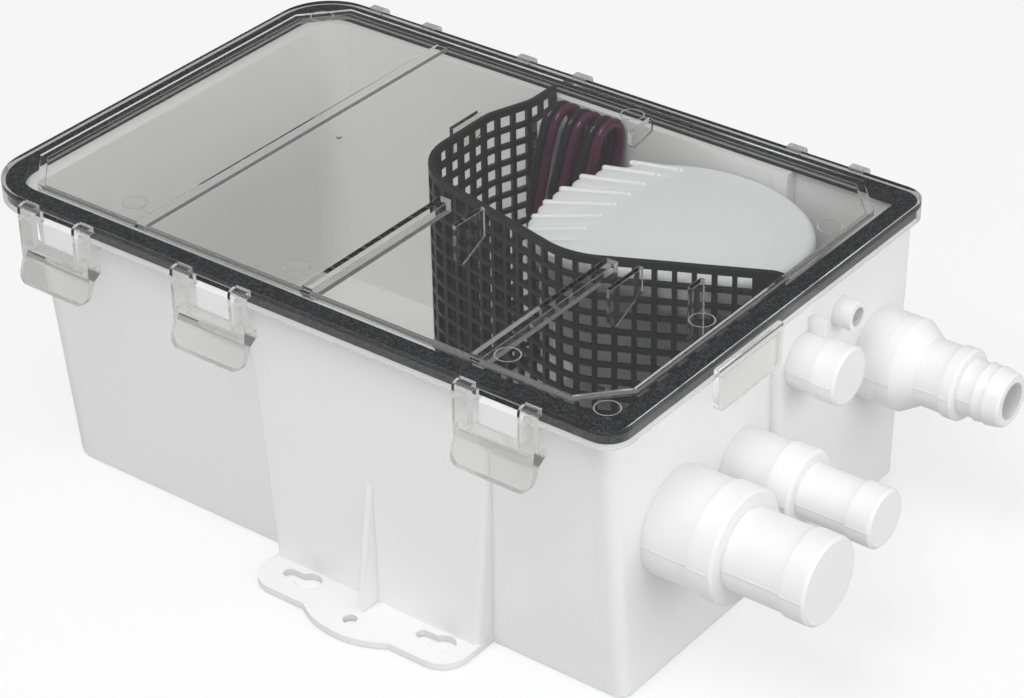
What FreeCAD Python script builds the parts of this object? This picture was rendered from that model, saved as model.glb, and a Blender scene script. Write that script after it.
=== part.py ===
"""Shower sump pump: a moulded tub with a snap-on clear lid, a lift-out filter
screen and an automatic pump that empties it through a check valve.

Frame, in mm: the origin is on the base plane under the middle of the lid,
+X points to the end with the hose barbs, +Y to the back long side, +Z up.
"""
import FreeCAD, Part
import Sketcher
import math
import os
import re

from FreeCAD import Placement, Rotation, Vector

# Driving sizes

SIZES = [
    # tub
    ("rim_height", 108.1, "top of the tub's rim above the base plane"),
    ("rim_thickness", 3.0, "rim flange"),
    ("rim_half_length", 133.45, "rim flange, from the middle to either end"),
    ("rim_half_width", 89.2, "rim flange, from the middle to a long side"),
    ("wall_left", 124.0, "left wall at the rim, from the middle"),
    ("wall_left_base", 121.0, "left wall at the base"),
    ("wall_right", 127.5, "barb wall, upright"),
    ("wall_half", 83.0, "long walls at the rim, from the middle"),
    ("wall_half_base", 75.0, "long walls at the base"),
    ("wall", 2.6, "moulded wall"),
    ("floor_thickness", 2.8, "tub floor"),
    ("corner_left", 12.0, "upright corners at the left"),
    ("corner_right", 4.5, "upright corners at the barb end"),
    ("base_round", 9.0, "rounding under the left end"),
    ("bay_left", 82.0, "outlet bay, a bulge of the back right corner: its left end"),
    ("bay_end", 131.0, "its barb wall"),
    ("bay_front", 6.4, "its front end"),
    ("bay_back", 88.2, "its back wall at the rim"),
    ("bay_back_base", 83.0, "its back wall at the base"),
    ("bay_foot", 4.5, "its underside"),
    ("bay_corner", 3.5, "its upright corners"),
    # pilasters and foot flanges
    ("pilaster_middle", 30.5, "middle of the pilasters along the box"),
    ("pilaster_base", 87.0, "pilaster width at the base"),
    ("pilaster_flare", 17.0, "how much wider it is at the rim"),
    ("pilaster_edge", 2.0, "rounding of its upright edges"),
    ("flange_length", 88.0, "foot flange along the box"),
    ("flange_reach", 99.0, "its outer edge from the middle"),
    ("flange_thickness", 2.5, "foot flange"),
    ("flange_corner", 10.0, "rounding of its ends"),
    ("bulge_radius", 33.0, "rounded bulge at the centre hole"),
    ("bulge_reach", 104.7, "its outer edge from the middle"),
    ("centre_hole", 2.5, "centre hole radius"),
    ("centre_hole_place", 96.3, "its distance from the middle"),
    ("keyhole_pitch", 58.0, "spacing of the two keyholes of a flange"),
    ("keyhole_place", 88.4, "their distance from the middle"),
    ("keyhole_head", 4.5, "radius of the round end"),
    ("keyhole_slot", 2.3, "half width of the slot"),
    ("keyhole_run", 8.5, "from the round end's centre to the slot's"),
    ("gusset_height", 50.0, "rib between pilaster and flange"),
    ("gusset_reach", 8.0, "its foot on the flange"),
    ("gusset_thickness", 2.6, "rib"),
    # gasket and lid
    ("gasket_thickness", 3.0, "foam between rim and lid"),
    ("gasket_width", 6.4, "band width"),
    ("gasket_proud", 0.3, "foam outside the rim"),
    ("lid_thickness", 2.4, "lid border plate"),
    ("lid_corner_left", 21.0, "lid corners at the left"),
    ("lid_corner_right", 9.0, "lid corners at the barb end"),
    ("skirt_gap", 0.4, "between skirt and rim"),
    ("skirt_thickness", 1.4, "skirt"),
    ("skirt_drop", 7.1, "skirt below the border's top"),
    ("panel_half_length", 127.0, "raised panel"),
    ("panel_half_width", 83.0, "raised panel"),
    ("panel_cut_long", 14.0, "its cut corners along the box"),
    ("panel_cut_wide", 15.5, "its cut corners across the box"),
    ("panel_rise", 1.8, "panel above the border"),
    ("panel_thickness", 2.2, "panel plate"),
    ("panel_wall", 2.2, "upright wall round the panel"),
    ("rib_width", 4.4, "ribs under the panel"),
    ("rib_depth", 4.5, "ribs under the panel"),
    ("fin_thickness", 1.6, "fins under the panel"),
    ("tab_width", 36.0, "lift tab at the barb end"),
    ("tab_middle", -20.5, "its middle across the box"),
    ("tab_drop", 12.0, "its lower edge below the skirt"),
    ("tab_proud", 2.4, "how far it stands out"),
    ("tab_corner", 4.0, "its lower corners"),
    # latches and catches
    ("latch_left", -95.0, "latch places along the box"),
    ("latch_middle", -25.0, "latch places along the box"),
    ("latch_right", 92.5, "latch places along the box"),
    ("latch_width", 31.5, "over both legs"),
    ("latch_window", 19.2, "between the legs"),
    ("latch_reach", 4.5, "outer face beyond the skirt"),
    ("latch_thickness", 2.6, "strap"),
    ("latch_drop", 28.5, "lower edge below the border's top"),
    ("latch_flare", 3.2, "lower edge swings out"),
    ("latch_corner", 4.0, "lower corners"),
    ("hook_bite", 1.3, "hook under the catch"),
    ("hook_height", 3.0, "hook"),
    ("hook_gap", 0.4, "between hook and catch"),
    ("catch_width", 17.6, "catch block on the tub"),
    ("catch_drop", 9.6, "its lower face below the rim"),
    # filter screen
    ("screen_thickness", 1.8, "strip"),
    ("screen_gap", 0.4, "to walls, floor and guides"),
    ("screen_lid_gap", 0.5, "under the lid's panel"),
    ("screen_top", "=rim_height + gasket_thickness + lid_thickness + panel_rise - panel_thickness"
     " - screen_lid_gap", "its upper edge"),
    ("screen_back_x", -15.0, "where it meets the back wall"),
    ("screen_back_y", 66.0, "where it leaves its guides there"),
    ("screen_back_round", 12.0, "rounding of that bend"),
    ("screen_lean_y", 49.0, "where it stops leaning"),
    ("screen_corner_x", -20.9, "its front left corner"),
    ("screen_corner_y", 5.3, "its front left corner"),
    ("screen_corner_round", 24.0, "rounding of that corner"),
    ("screen_belly_x", 59.7, "its most forward corner"),
    ("screen_belly_y", -13.0, "its most forward corner"),
    ("screen_belly_round", 30.0, "rounding of that corner"),
    ("screen_turn_x", 121.1, "where it turns straight to the barb wall"),
    ("screen_end_y", 17.2, "its right end across the box"),
    ("screen_turn_round", 8.0, "rounding of that turn"),
    ("screen_tab", 8.0, "plain end at the barb wall"),
    ("mesh_pitch", 6.6, "pitch of the square holes"),
    ("mesh_hole", 4.9, "hole"),
    ("guide_thickness", 1.8, "guide ribs beside the screen's ends"),
    ("guide_reach", 5.0, "guide ribs off the wall"),
    # hose barbs
    ("barb_wall", 2.6, "wall of the barbs"),
    ("barb_tip", 2.0, "closed tips"),
    ("large_y", -47.4, "large inlet"),
    ("large_z", 56.0, "large inlet"),
    ("large_radius", 19.0, "large inlet"),
    ("large_neck_radius", 14.3, "large inlet's second step"),
    ("large_end", 185.6, "large inlet's tip"),
    ("middle_y", -10.5, "middle inlet"),
    ("middle_z", 57.5, "middle inlet"),
    ("middle_radius", 12.7, "middle inlet"),
    ("middle_neck_radius", 9.5, "middle inlet's second step"),
    ("middle_end", 183.0, "middle inlet's tip"),
    ("upper_y", 18.5, "upper inlet"),
    ("upper_z", 83.5, "upper inlet"),
    ("upper_radius", 9.5, "upper inlet"),
    ("upper_end", 150.0, "upper inlet's tip"),
    ("first_ring", 145.4, "start of the first ring along the box"),
    ("first_ring_length", 9.3, "first ring"),
    ("end_ring_length", 9.0, "ring at a tip"),
    ("ring_proud", 0.8, "rings above the barb"),
    ("ring_round", 1.0, "chamfer at a ring's outer end"),
    ("nipple_y", 42.0, "cable nipple"),
    ("nipple_z", 90.5, "cable nipple"),
    ("nipple_radius", 5.3, "cable nipple"),
    ("nipple_bore", 3.4, "cable nipple"),
    ("nipple_end", 138.0, "its tip"),
    ("bracket_y", 22.5, "upright rib beside the nipple"),
    ("bracket_z", 85.0, "its foot"),
    ("bracket_reach", 6.0, "off the wall"),
    ("bracket_thickness", 2.2, "rib"),
    ("bracket_height", 12.5, "rib"),
    # outlet
    ("outlet_y", 66.5, "outlet axis"),
    ("outlet_z", 62.0, "outlet axis"),
    ("socket_radius", 16.5, "socket on the tub"),
    ("socket_bore", 13.6, "socket bore"),
    ("socket_end", 141.0, "socket's mouth"),
    ("seat_thickness", 2.8, "valve seat in the socket's root"),
    ("stub_radius", 5.6, "stub inside the tub"),
    ("stub_bore", 4.2, "waterway"),
    ("stub_length", 8.0, "stub inside the tub"),
    ("spigot_gap", 0.3, "fitting in its socket"),
    ("fitting_bore", 10.0, "valve chamber in the fitting"),
    ("fitting_mouth", 6.5, "open bore of the outlet"),
    ("fitting_neck", 12.0, "first hose step"),
    ("fitting_tail", 9.8, "second hose step"),
    ("fitting_end", 184.0, "outlet's mouth"),
    ("seal_radius", 1.0, "O-ring section"),
    ("flap_radius", 8.0, "valve flap"),
    ("flap_thickness", 1.4, "valve flap"),
    ("flap_gap", 0.2, "flap to seat"),
    ("pin_radius", 0.8, "flap pin"),
    ("pin_rise", 7.4, "flap pin above the outlet axis"),
    ("knuckle_width", 6.0, "flap's knuckle on its pin"),
    ("pin_gap", 0.08, "flap on its pin"),
    # pump
    ("pump_x", 74.0, "shaft axis"),
    ("pump_y", 43.5, "shaft axis"),
    ("strainer_x", 62.0, "middle of the strainer base"),
    ("strainer_y", 41.5, "middle of the strainer base"),
    ("strainer_half_length", 41.0, "strainer base"),
    ("strainer_half_width", 28.5, "strainer base"),
    ("strainer_height", 21.0, "strainer base"),
    ("strainer_wall", 2.0, "strainer base"),
    ("strainer_plate", 2.2, "its inner plate"),
    ("strainer_gap", 0.2, "under the strainer base"),
    ("strainer_slot", 3.2, "slots round its wall"),
    ("boss_height", 6.0, "screw bosses on the floor"),
    ("boss_radius", 4.0, "screw bosses on the floor"),
    ("screw_radius", 1.5, "base screws"),
    ("screw_head", 3.0, "base screws"),
    ("volute_height", 22.0, "volute casing"),
    ("volute_wall", 2.4, "volute casing"),
    ("volute_radius", 23.0, "waterway at its narrow end"),
    ("volute_growth", 1.2, "growth per quarter turn"),
    ("nozzle_radius", 5.6, "discharge nozzle"),
    ("nozzle_bore", 4.2, "discharge nozzle"),
    ("nozzle_x", 109.0, "upright end of the nozzle"),
    ("nozzle_bend", 9.0, "its bend"),
    ("nozzle_rise", 6.0, "straight end above the bend"),
    ("impeller_radius", 19.0, "impeller"),
    ("impeller_disc", 1.8, "back plate"),
    ("vane_height", 7.0, "vanes"),
    ("vane_thickness", 1.4, "vanes"),
    ("hub_radius", 5.0, "impeller hub"),
    ("shaft_radius", 2.0, "motor shaft"),
    ("running_gap", 0.06, "shaft in bearings and seal"),
    ("housing_x", 60.5, "middle of the motor housing"),
    ("housing_y", 42.0, "middle of the motor housing"),
    ("housing_half_length", 40.0, "motor housing"),
    ("housing_half_width", 30.0, "motor housing"),
    ("housing_wall", 2.2, "motor housing"),
    ("cap_x", 70.0, "middle of the cap"),
    ("cap_y", 39.6, "middle of the cap"),
    ("cap_half_length", 46.8, "cap"),
    ("cap_half_width", 38.9, "cap"),
    ("cap_height", 12.0, "cap"),
    ("cap_round", 4.0, "rounding of its upper edge"),
    ("cap_headroom", 9.1, "between the cap and the lid's panel"),
    ("housing_height", "=rim_height + gasket_thickness + lid_thickness + panel_rise - panel_thickness"
     " - cap_headroom - cap_height - floor_thickness - strainer_gap - strainer_height"
     " - volute_height", "motor housing"),
    ("cap_ridge", 2.2, "ridge radius"),
    ("cap_ridge_length", 19.0, "ridges"),
    ("cap_ridge_pitch", 9.4, "ridges along the left edge"),
    ("cap_ridge_turn", 40.0, "heading of the front ridge, in degrees"),
    ("motor_radius", 19.5, "motor can"),
    ("motor_length", 36.0, "motor can"),
    ("motor_wall", 1.2, "motor can"),
    ("bell_thickness", 3.0, "end bell"),
    ("bearing_radius", 4.5, "bearings"),
    ("bearing_length", 4.0, "bearings"),
    ("seal_outer", 5.5, "shaft seal"),
    ("seal_length", 4.0, "shaft seal"),
    # automatic switch
    ("float_x", 33.0, "float axis"),
    ("float_y", 41.0, "float axis"),
    ("float_radius", 7.5, "float"),
    ("float_height", 12.0, "float"),
    ("float_travel", 14.0, "float"),
    ("stem_radius", 2.6, "reed-switch stem"),
    ("float_gap", 0.5, "float on its stem"),
    ("chamber_wall", 1.8, "float chamber"),
    ("chamber_gap", 1.0, "float in its chamber"),
    # rubber elbow and clamps
    ("hose_wall", 1.8, "rubber elbow"),
    ("hose_bend", 9.0, "rubber elbow"),
    ("clamp_width", 5.0, "hose clamps"),
    ("clamp_thickness", 0.8, "hose clamps"),
    # lead
    ("wire_radius", 1.8, "each of the pump lead's two wires"),
    ("lead_bend", 11.0, "bend of the lead after its gland"),
    ("lead_overlap", 5.5, "how far the lead reaches past the coil's lowest point"),
    ("coil_start", -11.3, "left end of the coil"),
    ("coil_length", 28.6, "coil"),
    ("coil_half_height", 19.2, "upright coil, outside"),
    ("coil_half_width", 8.8, "upright coil, outside"),
    ("coil_lean", 14.0, "how far its top leans back, in degrees"),
    ("coil_wall_gap", 0.4, "to the back wall"),
    ("coil_lid_gap", 1.0, "to the lid's panel"),
    ("coil_y", "=wall_half - wall - coil_wall_gap - (coil_half_height - coil_half_width)"
     " * sin(coil_lean) - coil_half_width", "middle of the coil"),
    ("coil_z", "=screen_top + screen_lid_gap - coil_lid_gap - (coil_half_height - coil_half_width)"
     " * cos(coil_lean) - coil_half_width", "middle of the coil"),
    ("gland_z", 66.0, "lead gland"),
    ("gland_y", "=coil_y - (coil_half_width - wire_radius) / cos(coil_lean) - (coil_z - gland_z)"
     " * tan(coil_lean)", "lead gland, in line with the coil's front"),
    ("gland_radius", 5.0, "lead gland, at the housing"),
    ("gland_tip", 4.4, "lead gland, at its tip"),
    ("gland_end", 7.0, "its tip along the box"),
]

document = FreeCAD.newDocument("shower_sump_pump")
sheet = document.addObject("Spreadsheet::Sheet", "Sizes")
ALIASES = {alias for alias, _, _ in SIZES}
for row, (alias, value, note) in enumerate(SIZES, start=1):
    sheet.set(f"A{row}", note)
    sheet.set(f"B{row}", str(value))
    sheet.setAlias(f"B{row}", alias)
document.recompute()


def size(alias):
    """Present value of one named size."""
    return float(getattr(sheet, alias))


def sized(expression):
    """Expression text that reads each named size from the sheet."""
    return re.sub(r"[a-z_]+", lambda word: f"Sizes.{word[0]}" if word[0] in ALIASES else word[0],
                  str(expression))


# Places that several pieces share, as expressions in the named sizes

GASKET_TOP = "(rim_height + gasket_thickness)"
LID_TOP = f"({GASKET_TOP} + lid_thickness)"
PANEL_TOP = f"({LID_TOP} + panel_rise)"
PANEL_UNDER = f"({PANEL_TOP} - panel_thickness)"
LID_END = "(rim_half_length + skirt_gap + skirt_thickness)"
LID_SIDE = "(rim_half_width + skirt_gap + skirt_thickness)"
SKIRT_BOTTOM = f"({LID_TOP} - skirt_drop)"
RIM_UNDER = "(rim_height - rim_thickness)"
CATCH_BOTTOM = "(rim_height - catch_drop)"
HOOK_TOP = f"({CATCH_BOTTOM} - hook_gap)"
BAY_INNER = "(bay_end - wall)"

# Helpers for the document's objects


def bind(thing, **expressions):
    """Tie properties to expressions; a double underline in a name stands for a dot."""
    for name, expression in expressions.items():
        thing.setExpression(name.replace("__", "."), sized(expression))


def move(thing, x=0, y=0, z=0):
    """Tie a thing's place to expressions."""
    bind(thing, Placement__Base__x=x, Placement__Base__y=y, Placement__Base__z=z)
    return thing


def box(name, x, y, z, length, width, height):
    """Box from its low corner."""
    thing = document.addObject("Part::Box", name)
    bind(thing, Length=length, Width=width, Height=height)
    return move(thing, x, y, z)


def block(name, x, y, low, high, length, width):
    """Box centred on x and y between two heights."""
    return box(name, f"{x} - ({length}) / 2", f"{y} - ({width}) / 2", low, length, width,
               f"{high} - ({low})")


def rod(name, radius, length, x, y, z, along="Z"):
    """Cylinder from the centre of its first face, along an axis."""
    thing = document.addObject("Part::Cylinder", name)
    bind(thing, Radius=radius, Height=length)
    turns = {"X": Rotation(Vector(0, 1, 0), 90), "Y": Rotation(Vector(1, 0, 0), -90), "Z": Rotation()}
    thing.Placement = Placement(Vector(), turns[along])
    return move(thing, x, y, z)


def cut(name, base, *tools):
    """Base less the tools."""
    thing = document.addObject("Part::Cut", name)
    thing.Base = base
    thing.Tool = tools[0] if len(tools) == 1 else fuse(f"{name}_tools", *tools)
    return thing


def fuse(name, *pieces):
    """The pieces as one solid, with no seams in flat faces."""
    thing = document.addObject("Part::MultiFuse", name)
    thing.Shapes = list(pieces)
    thing.Refine = True
    return thing


def common(name, one, other):
    """What two solids share."""
    thing = document.addObject("Part::MultiCommon", name)
    thing.Shapes = [one, other]
    return thing


def mirrored(name, source):
    """The source's mirror image across the box's long middle plane."""
    thing = document.addObject("Part::Mirroring", name)
    thing.Source = source
    thing.Normal = Vector(0, 1, 0)
    return thing


def outline(body, name, role, points, height=0):
    """Closed sketch of straight lines; each corner is tied to two expressions."""
    sketch = body.newObject("Sketcher::SketchObject", name)
    plane = next(feature for feature in body.Origin.OriginFeatures if feature.Role == role)
    sketch.AttachmentSupport = (plane, [""])
    sketch.MapMode = "FlatFace"
    bind(sketch, AttachmentOffset__Base__z=height)
    count = len(points)
    turn = [math.tau * index / count for index in range(count + 1)]
    start = [Vector(10 * math.cos(angle), 10 * math.sin(angle), 0) for angle in turn]
    for index in range(count):
        sketch.addGeometry(Part.LineSegment(start[index], start[index + 1]))
    for index in range(count):
        sketch.addConstraint(Sketcher.Constraint("Coincident", index, 2, (index + 1) % count, 1))
    for index, (across, up) in enumerate(points):
        for kind, value in (("DistanceX", across), ("DistanceY", up)):
            found = sketch.addConstraint(Sketcher.Constraint(kind, -1, 1, index, 1, 1.0))
            bind(sketch, **{f"Constraints[{found}]": value})
    return sketch


def pad(name, role, points, length, height=0, both_ways=False):
    """Body with an outline and a pad of it."""
    body = document.addObject("PartDesign::Body", name)
    sketch = outline(body, f"{name}_outline", role, points, height)
    feature = body.newObject("PartDesign::Pad", f"{name}_pad")
    feature.Profile = sketch
    feature.Midplane = both_ways
    bind(feature, Length=length)
    body.Tip = feature
    return body


def turned(name, points, y=0, z=0):
    """Body turned about a line along the box; points are (place along it, radius)."""
    body = document.addObject("PartDesign::Body", name)
    sketch = outline(body, f"{name}_outline", "XY_Plane", points)
    feature = body.newObject("PartDesign::Revolution", f"{name}_turn")
    feature.Profile = sketch
    feature.ReferenceAxis = (sketch, ["H_Axis"])
    feature.Angle = 360
    body.Tip = feature
    return move(body, 0, y, z)


def turned_upright(name, points, x, y):
    """Body turned about an upright line; points are (radius, height)."""
    body = document.addObject("PartDesign::Body", name)
    sketch = outline(body, f"{name}_outline", "XZ_Plane", points)
    feature = body.newObject("PartDesign::Revolution", f"{name}_turn")
    feature.Profile = sketch
    feature.ReferenceAxis = (sketch, ["V_Axis"])
    feature.Angle = 360
    body.Tip = feature
    return move(body, x, y)


def rounded(body, radius, chosen):
    """Fillet on those edges of a body that a test chooses."""
    document.recompute()
    base = body.Tip
    edges = [f"Edge{index}" for index, edge in enumerate(base.Shape.Edges, start=1) if chosen(edge)]
    feature = body.newObject("PartDesign::Fillet", f"{base.Name}_round")
    feature.Base = (base, edges)
    bind(feature, Radius=radius)
    body.Tip = feature
    return body


def upright(edge, right=None):
    """Whether an edge runs more up than along, on the chosen half of the box."""
    low, high = edge.BoundBox.ZMin, edge.BoundBox.ZMax
    side = right is None or (edge.CenterOfMass.x > 0) == right
    return side and high - low > max(edge.BoundBox.XLength, edge.BoundBox.YLength)


def along_box(edge, where):
    """Whether an edge runs along the box and its middle passes a test."""
    return edge.BoundBox.XLength > 0.99 * edge.Length and where(edge.CenterOfMass)


def rectangle(half_length, half_width):
    """Corners of a rectangle about the origin."""
    return [(f"-({half_length})", f"-({half_width})"), (half_length, f"-({half_width})"),
            (half_length, half_width), (f"-({half_length})", half_width)]


def plate(name, half_length, half_width, low, high, left, right):
    """Rectangular plate with one corner radius at each end."""
    body = pad(name, "XY_Plane", rectangle(half_length, half_width), f"{high} - ({low})", low)
    rounded(body, left, lambda edge: upright(edge, right=False))
    return rounded(body, right, lambda edge: upright(edge, right=True))


probe = document.addObject("Part::Sphere", "size_reader")
NODES = {}


def node(name, thing):
    """Name a finished sub-part."""
    thing.Label = name
    NODES[name] = thing
    return thing


# Tub: drafted walls, pilasters, rim, flanges, catches and barbs


def half_width_at(height):
    """Half width of the drafted box at a height."""
    return f"(wall_half_base + (wall_half - wall_half_base) * ({height}) / rim_height)"


def left_at(height):
    """Left wall's distance from the middle at a height."""
    return f"(wall_left_base + (wall_left - wall_left_base) * ({height}) / rim_height)"


def box_form(name, inset, low, high):
    """Solid form of the box with its bay and pilasters, drawn in by an inset."""
    left_low, left_high = (f"-({left_at(height)} - ({inset}))" for height in (low, high))
    half_low, half_high = (f"({half_width_at(height)} - ({inset}))" for height in (low, high))
    walls = document.addObject("PartDesign::Body", f"{name}_walls")
    wedge = walls.newObject("PartDesign::AdditiveWedge", f"{name}_wedge")
    bind(wedge, Ymin=low, Ymax=high, Xmin=left_low, X2min=left_high,
         Xmax=f"wall_right - ({inset})", X2max=f"wall_right - ({inset})",
         Zmin=f"-{half_low}", Zmax=half_low, Z2min=f"-{half_high}", Z2max=half_high)
    wedge.Placement = Placement(Vector(), Rotation(Vector(1, 0, 0), 90))
    walls.Tip = wedge
    rounded(walls, f"corner_left - ({inset})", lambda edge: upright(edge, right=False))
    rounded(walls, f"corner_right - ({inset})", lambda edge: upright(edge, right=True))
    side = pad(f"{name}_side", "XZ_Plane",
               [(left_low, low), ("wall_right + 10", low), ("wall_right + 10", high), (left_high, high)],
               "wall_half * 2 + 20", both_ways=True)
    foot = -size("wall_left_base") / 2
    rounded(side, f"base_round - ({inset})",
            lambda edge: edge.BoundBox.YLength > 0.99 * edge.Length
            and edge.CenterOfMass.z < size("rim_height") / 2 and edge.CenterOfMass.x < foot)
    box_part = common(f"{name}_box", walls, side)
    foot_height = f"(bay_foot + ({inset}))"
    back_low = f"bay_back_base + (bay_back - bay_back_base) * {foot_height} / rim_height - ({inset})"
    back_high = f"bay_back_base + (bay_back - bay_back_base) * ({high}) / rim_height - ({inset})"
    bay = pad(f"{name}_bay", "YZ_Plane",
              [(f"bay_front + ({inset})", foot_height), (back_low, foot_height), (back_high, high),
               (f"bay_front + ({inset})", high)],
              f"bay_end - bay_left - 2 * ({inset})", f"bay_left + ({inset})")
    end = size("bay_end") - 10
    rounded(bay, f"max(bay_corner - ({inset}); 0.5)",
            lambda edge: upright(edge) and edge.CenterOfMass.x > end)
    half_low = f"(pilaster_base / 2 + pilaster_flare / 2 * ({low}) / rim_height - ({inset}))"
    half_high = f"(pilaster_base / 2 + pilaster_flare / 2 * ({high}) / rim_height - ({inset}))"
    pilaster = pad(f"{name}_pilaster", "XZ_Plane",
                   [(f"pilaster_middle - {half_low}", low), (f"pilaster_middle + {half_low}", low),
                    (f"pilaster_middle + {half_high}", high),
                    (f"pilaster_middle - {half_high}", high)],
                   f"(wall_half - ({inset})) * 2", both_ways=True)
    rounded(pilaster, "pilaster_edge", lambda edge: upright(edge))
    return fuse(f"{name}_form", box_part, bay, pilaster)


def barb(name, y, z, start, steps, ring_start, ring_end, inset=0):
    """Stepped hose barb along the box; steps are (end, radius), with a ring on each step."""
    points = [(start, 0)]
    previous = start
    for index, (end, radius) in enumerate(steps):
        begin = ring_start if index == 0 and len(steps) > 1 else f"({end} - {ring_end})"
        proud = f"({radius} + ring_proud)"
        points += [(previous, radius), (begin, radius), (begin, proud),
                   (f"{end} - ring_round", proud), (end, f"{proud} - ring_round")]
        previous = end
    points.append((previous, 0))
    return turned(name, points, y, z)


def barb_bore(name, y, z, steps):
    """Blind waterway of a barb, from inside the tub; steps are (end, radius)."""
    previous = "(wall_right - wall - 2)"
    points = [(previous, 0)]
    for end, radius in steps:
        points += [(previous, radius), (end, radius)]
        previous = end
    points.append((previous, 0))
    return turned(name, points, y, z)


def keyhole(name, x, y):
    """Keyhole through a flange: round end, slot and the slot's rounded end."""
    head = rod(f"{name}_head", "keyhole_head", "flange_thickness + 2", x, y, -1)
    tail = rod(f"{name}_tail", "keyhole_slot", "flange_thickness + 2", f"{x} - keyhole_run", y, -1)
    slot = box(f"{name}_slot", f"{x} - keyhole_run", f"{y} - keyhole_slot", -1, "keyhole_run",
               "keyhole_slot * 2", "flange_thickness + 2")
    return fuse(name, head, tail, slot)


def foot_flanges():
    """Both foot flanges, as one plate that passes through the tub's floor."""
    strip = pad("flange_strip", "XY_Plane",
                [("pilaster_middle - flange_length / 2", "-flange_reach"),
                 ("pilaster_middle + flange_length / 2", "-flange_reach"),
                 ("pilaster_middle + flange_length / 2", "flange_reach"),
                 ("pilaster_middle - flange_length / 2", "flange_reach")], "flange_thickness")
    rounded(strip, "flange_corner", lambda edge: upright(edge))
    bulges, holes = [], []
    for side, sign in (("front", "-"), ("back", "")):
        bulges.append(rod(f"{side}_bulge", "bulge_radius", "flange_thickness", "pilaster_middle",
                          f"{sign}(bulge_reach - bulge_radius)", 0))
        holes.append(rod(f"{side}_centre_hole", "centre_hole", "flange_thickness + 2",
                         "pilaster_middle", f"{sign}centre_hole_place", -1))
        for place in ("-", "+"):
            name = f"{side}_keyhole_{'left' if place == '-' else 'right'}"
            holes.append(keyhole(name, f"(pilaster_middle {place} keyhole_pitch / 2 + keyhole_run / 2)",
                                 f"{sign}keyhole_place"))
    return fuse("flange_plate", strip, *bulges), holes


def gussets():
    """Triangular ribs that tie the pilasters to their flanges."""
    front = pad("front_gusset", "YZ_Plane",
                [("-(wall_half - wall)", 0), ("-(wall_half + gusset_reach)", 0),
                 ("-(wall_half + gusset_reach)", "flange_thickness"),
                 ("-wall_half", "gusset_height"), ("-(wall_half - wall)", "gusset_height")],
                "gusset_thickness", both_ways=True)
    move(front, "pilaster_middle")
    return [front, mirrored("back_gusset", front)]


LATCHES = ("latch_left", "latch_middle", "latch_right")


def catches():
    """Catch blocks on the tub, one behind each latch window."""
    blocks = []
    for place in LATCHES:
        inner = half_width_at(CATCH_BOTTOM) + " - wall / 2"
        front = pad(f"catch_{place}", "YZ_Plane",
                    [(f"-({inner})", CATCH_BOTTOM), (f"-{LID_SIDE}", CATCH_BOTTOM),
                     (f"-{LID_SIDE}", "rim_height - 1.4"), ("-rim_half_width", "rim_height"),
                     (f"-({inner})", "rim_height")], "catch_width", both_ways=True)
        move(front, place)
        blocks += [front, mirrored(f"catch_{place}_back", front)]
    return blocks


def guides(outer):
    """Rib pairs that hold the screen's two ends, trimmed to the tub's walls."""
    slot = "(screen_thickness / 2 + screen_gap)"
    ribs = []
    for sign, low in (("-", f"(-{slot} - guide_thickness)"), ("+", slot)):
        ribs.append(box(f"end_guide{'_front' if sign == '-' else '_back'}",
                        f"{BAY_INNER} - guide_reach", f"screen_end_y + {low}", "floor_thickness / 2",
                        "guide_reach + wall / 2", "guide_thickness", f"{RIM_UNDER} - floor_thickness"))
        ribs.append(box(f"wall_guide{'_left' if sign == '-' else '_right'}",
                        f"screen_back_x + {low}", "wall_half_base - wall - guide_reach",
                        "floor_thickness / 2", "guide_thickness",
                        "wall_half - wall_half_base + guide_reach + wall / 2",
                        f"{RIM_UNDER} - floor_thickness"))
    return common("screen_guides", fuse("guide_ribs", *ribs), outer)


BOSSES = [("(strainer_x - strainer_half_length * 0.62)", "strainer_y"),
          ("(strainer_x + strainer_half_length * 0.45)", "(strainer_y - strainer_half_width * 0.6)"),
          ("(strainer_x + strainer_half_length * 0.45)", "(strainer_y + strainer_half_width * 0.6)")]


def walls_apart(tub):
    """The tub as its floor and wall lengths, each nearly flat, which meet face to face."""
    left, right, far = "(-wall_left_base + base_round + 0.2)", "(bay_left - 0.5)", "(bay_end + 80)"
    guide_left, guide_right = "(screen_back_x - 4.5)", "(screen_back_x + 4.5)"
    end, side, step = f"({BAY_INNER} - stub_length - 0.9)", "(wall_half_base - 9)", "(bay_front - 1.4)"
    edge = "(bulge_reach + 10)"
    spans = {"left_wall": ("-(rim_half_length + 10)", left, f"-{edge}", edge),
             "front_left": (left, guide_left, f"-{edge}", f"-{side}"),
             "front_pilaster": (guide_left, right, f"-{edge}", f"-{side}"),
             "front_right": (right, end, f"-{edge}", f"-{side}"),
             "barb_wall": (end, far, f"-{edge}", step),
             "bay_end_wall": (end, far, step, edge),
             "bay_back": (right, end, side, edge),
             "back_pilaster": (guide_right, right, side, edge),
             "guide_post": (guide_left, guide_right, side, edge),
             "back_left": (left, guide_left, side, edge)}
    slab = box("floor_slab", "-(rim_half_length + 10)", f"-{edge}", -1, f"{far} + rim_half_length + 10",
               f"2 * {edge}", "floor_thickness + 1")
    inside = box("floor_inside", left, f"-{side}", "floor_thickness - 1", f"{end} - {left}",
                 f"2 * {side}", "boss_height * 2 + 1")
    pieces = [common("tub_floor", tub, fuse("floor_room", slab, inside))]
    for name, (x_low, x_high, y_low, y_high) in spans.items():
        room = box(f"{name}_room", x_low, y_low, "floor_thickness", f"{x_high} - {x_low}",
                   f"{y_high} - {y_low}", "rim_height")
        pieces.append(common(f"tub_{name}", tub, room))
    group = document.addObject("Part::Compound", "tub_group")
    group.Links = pieces
    return group


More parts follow.
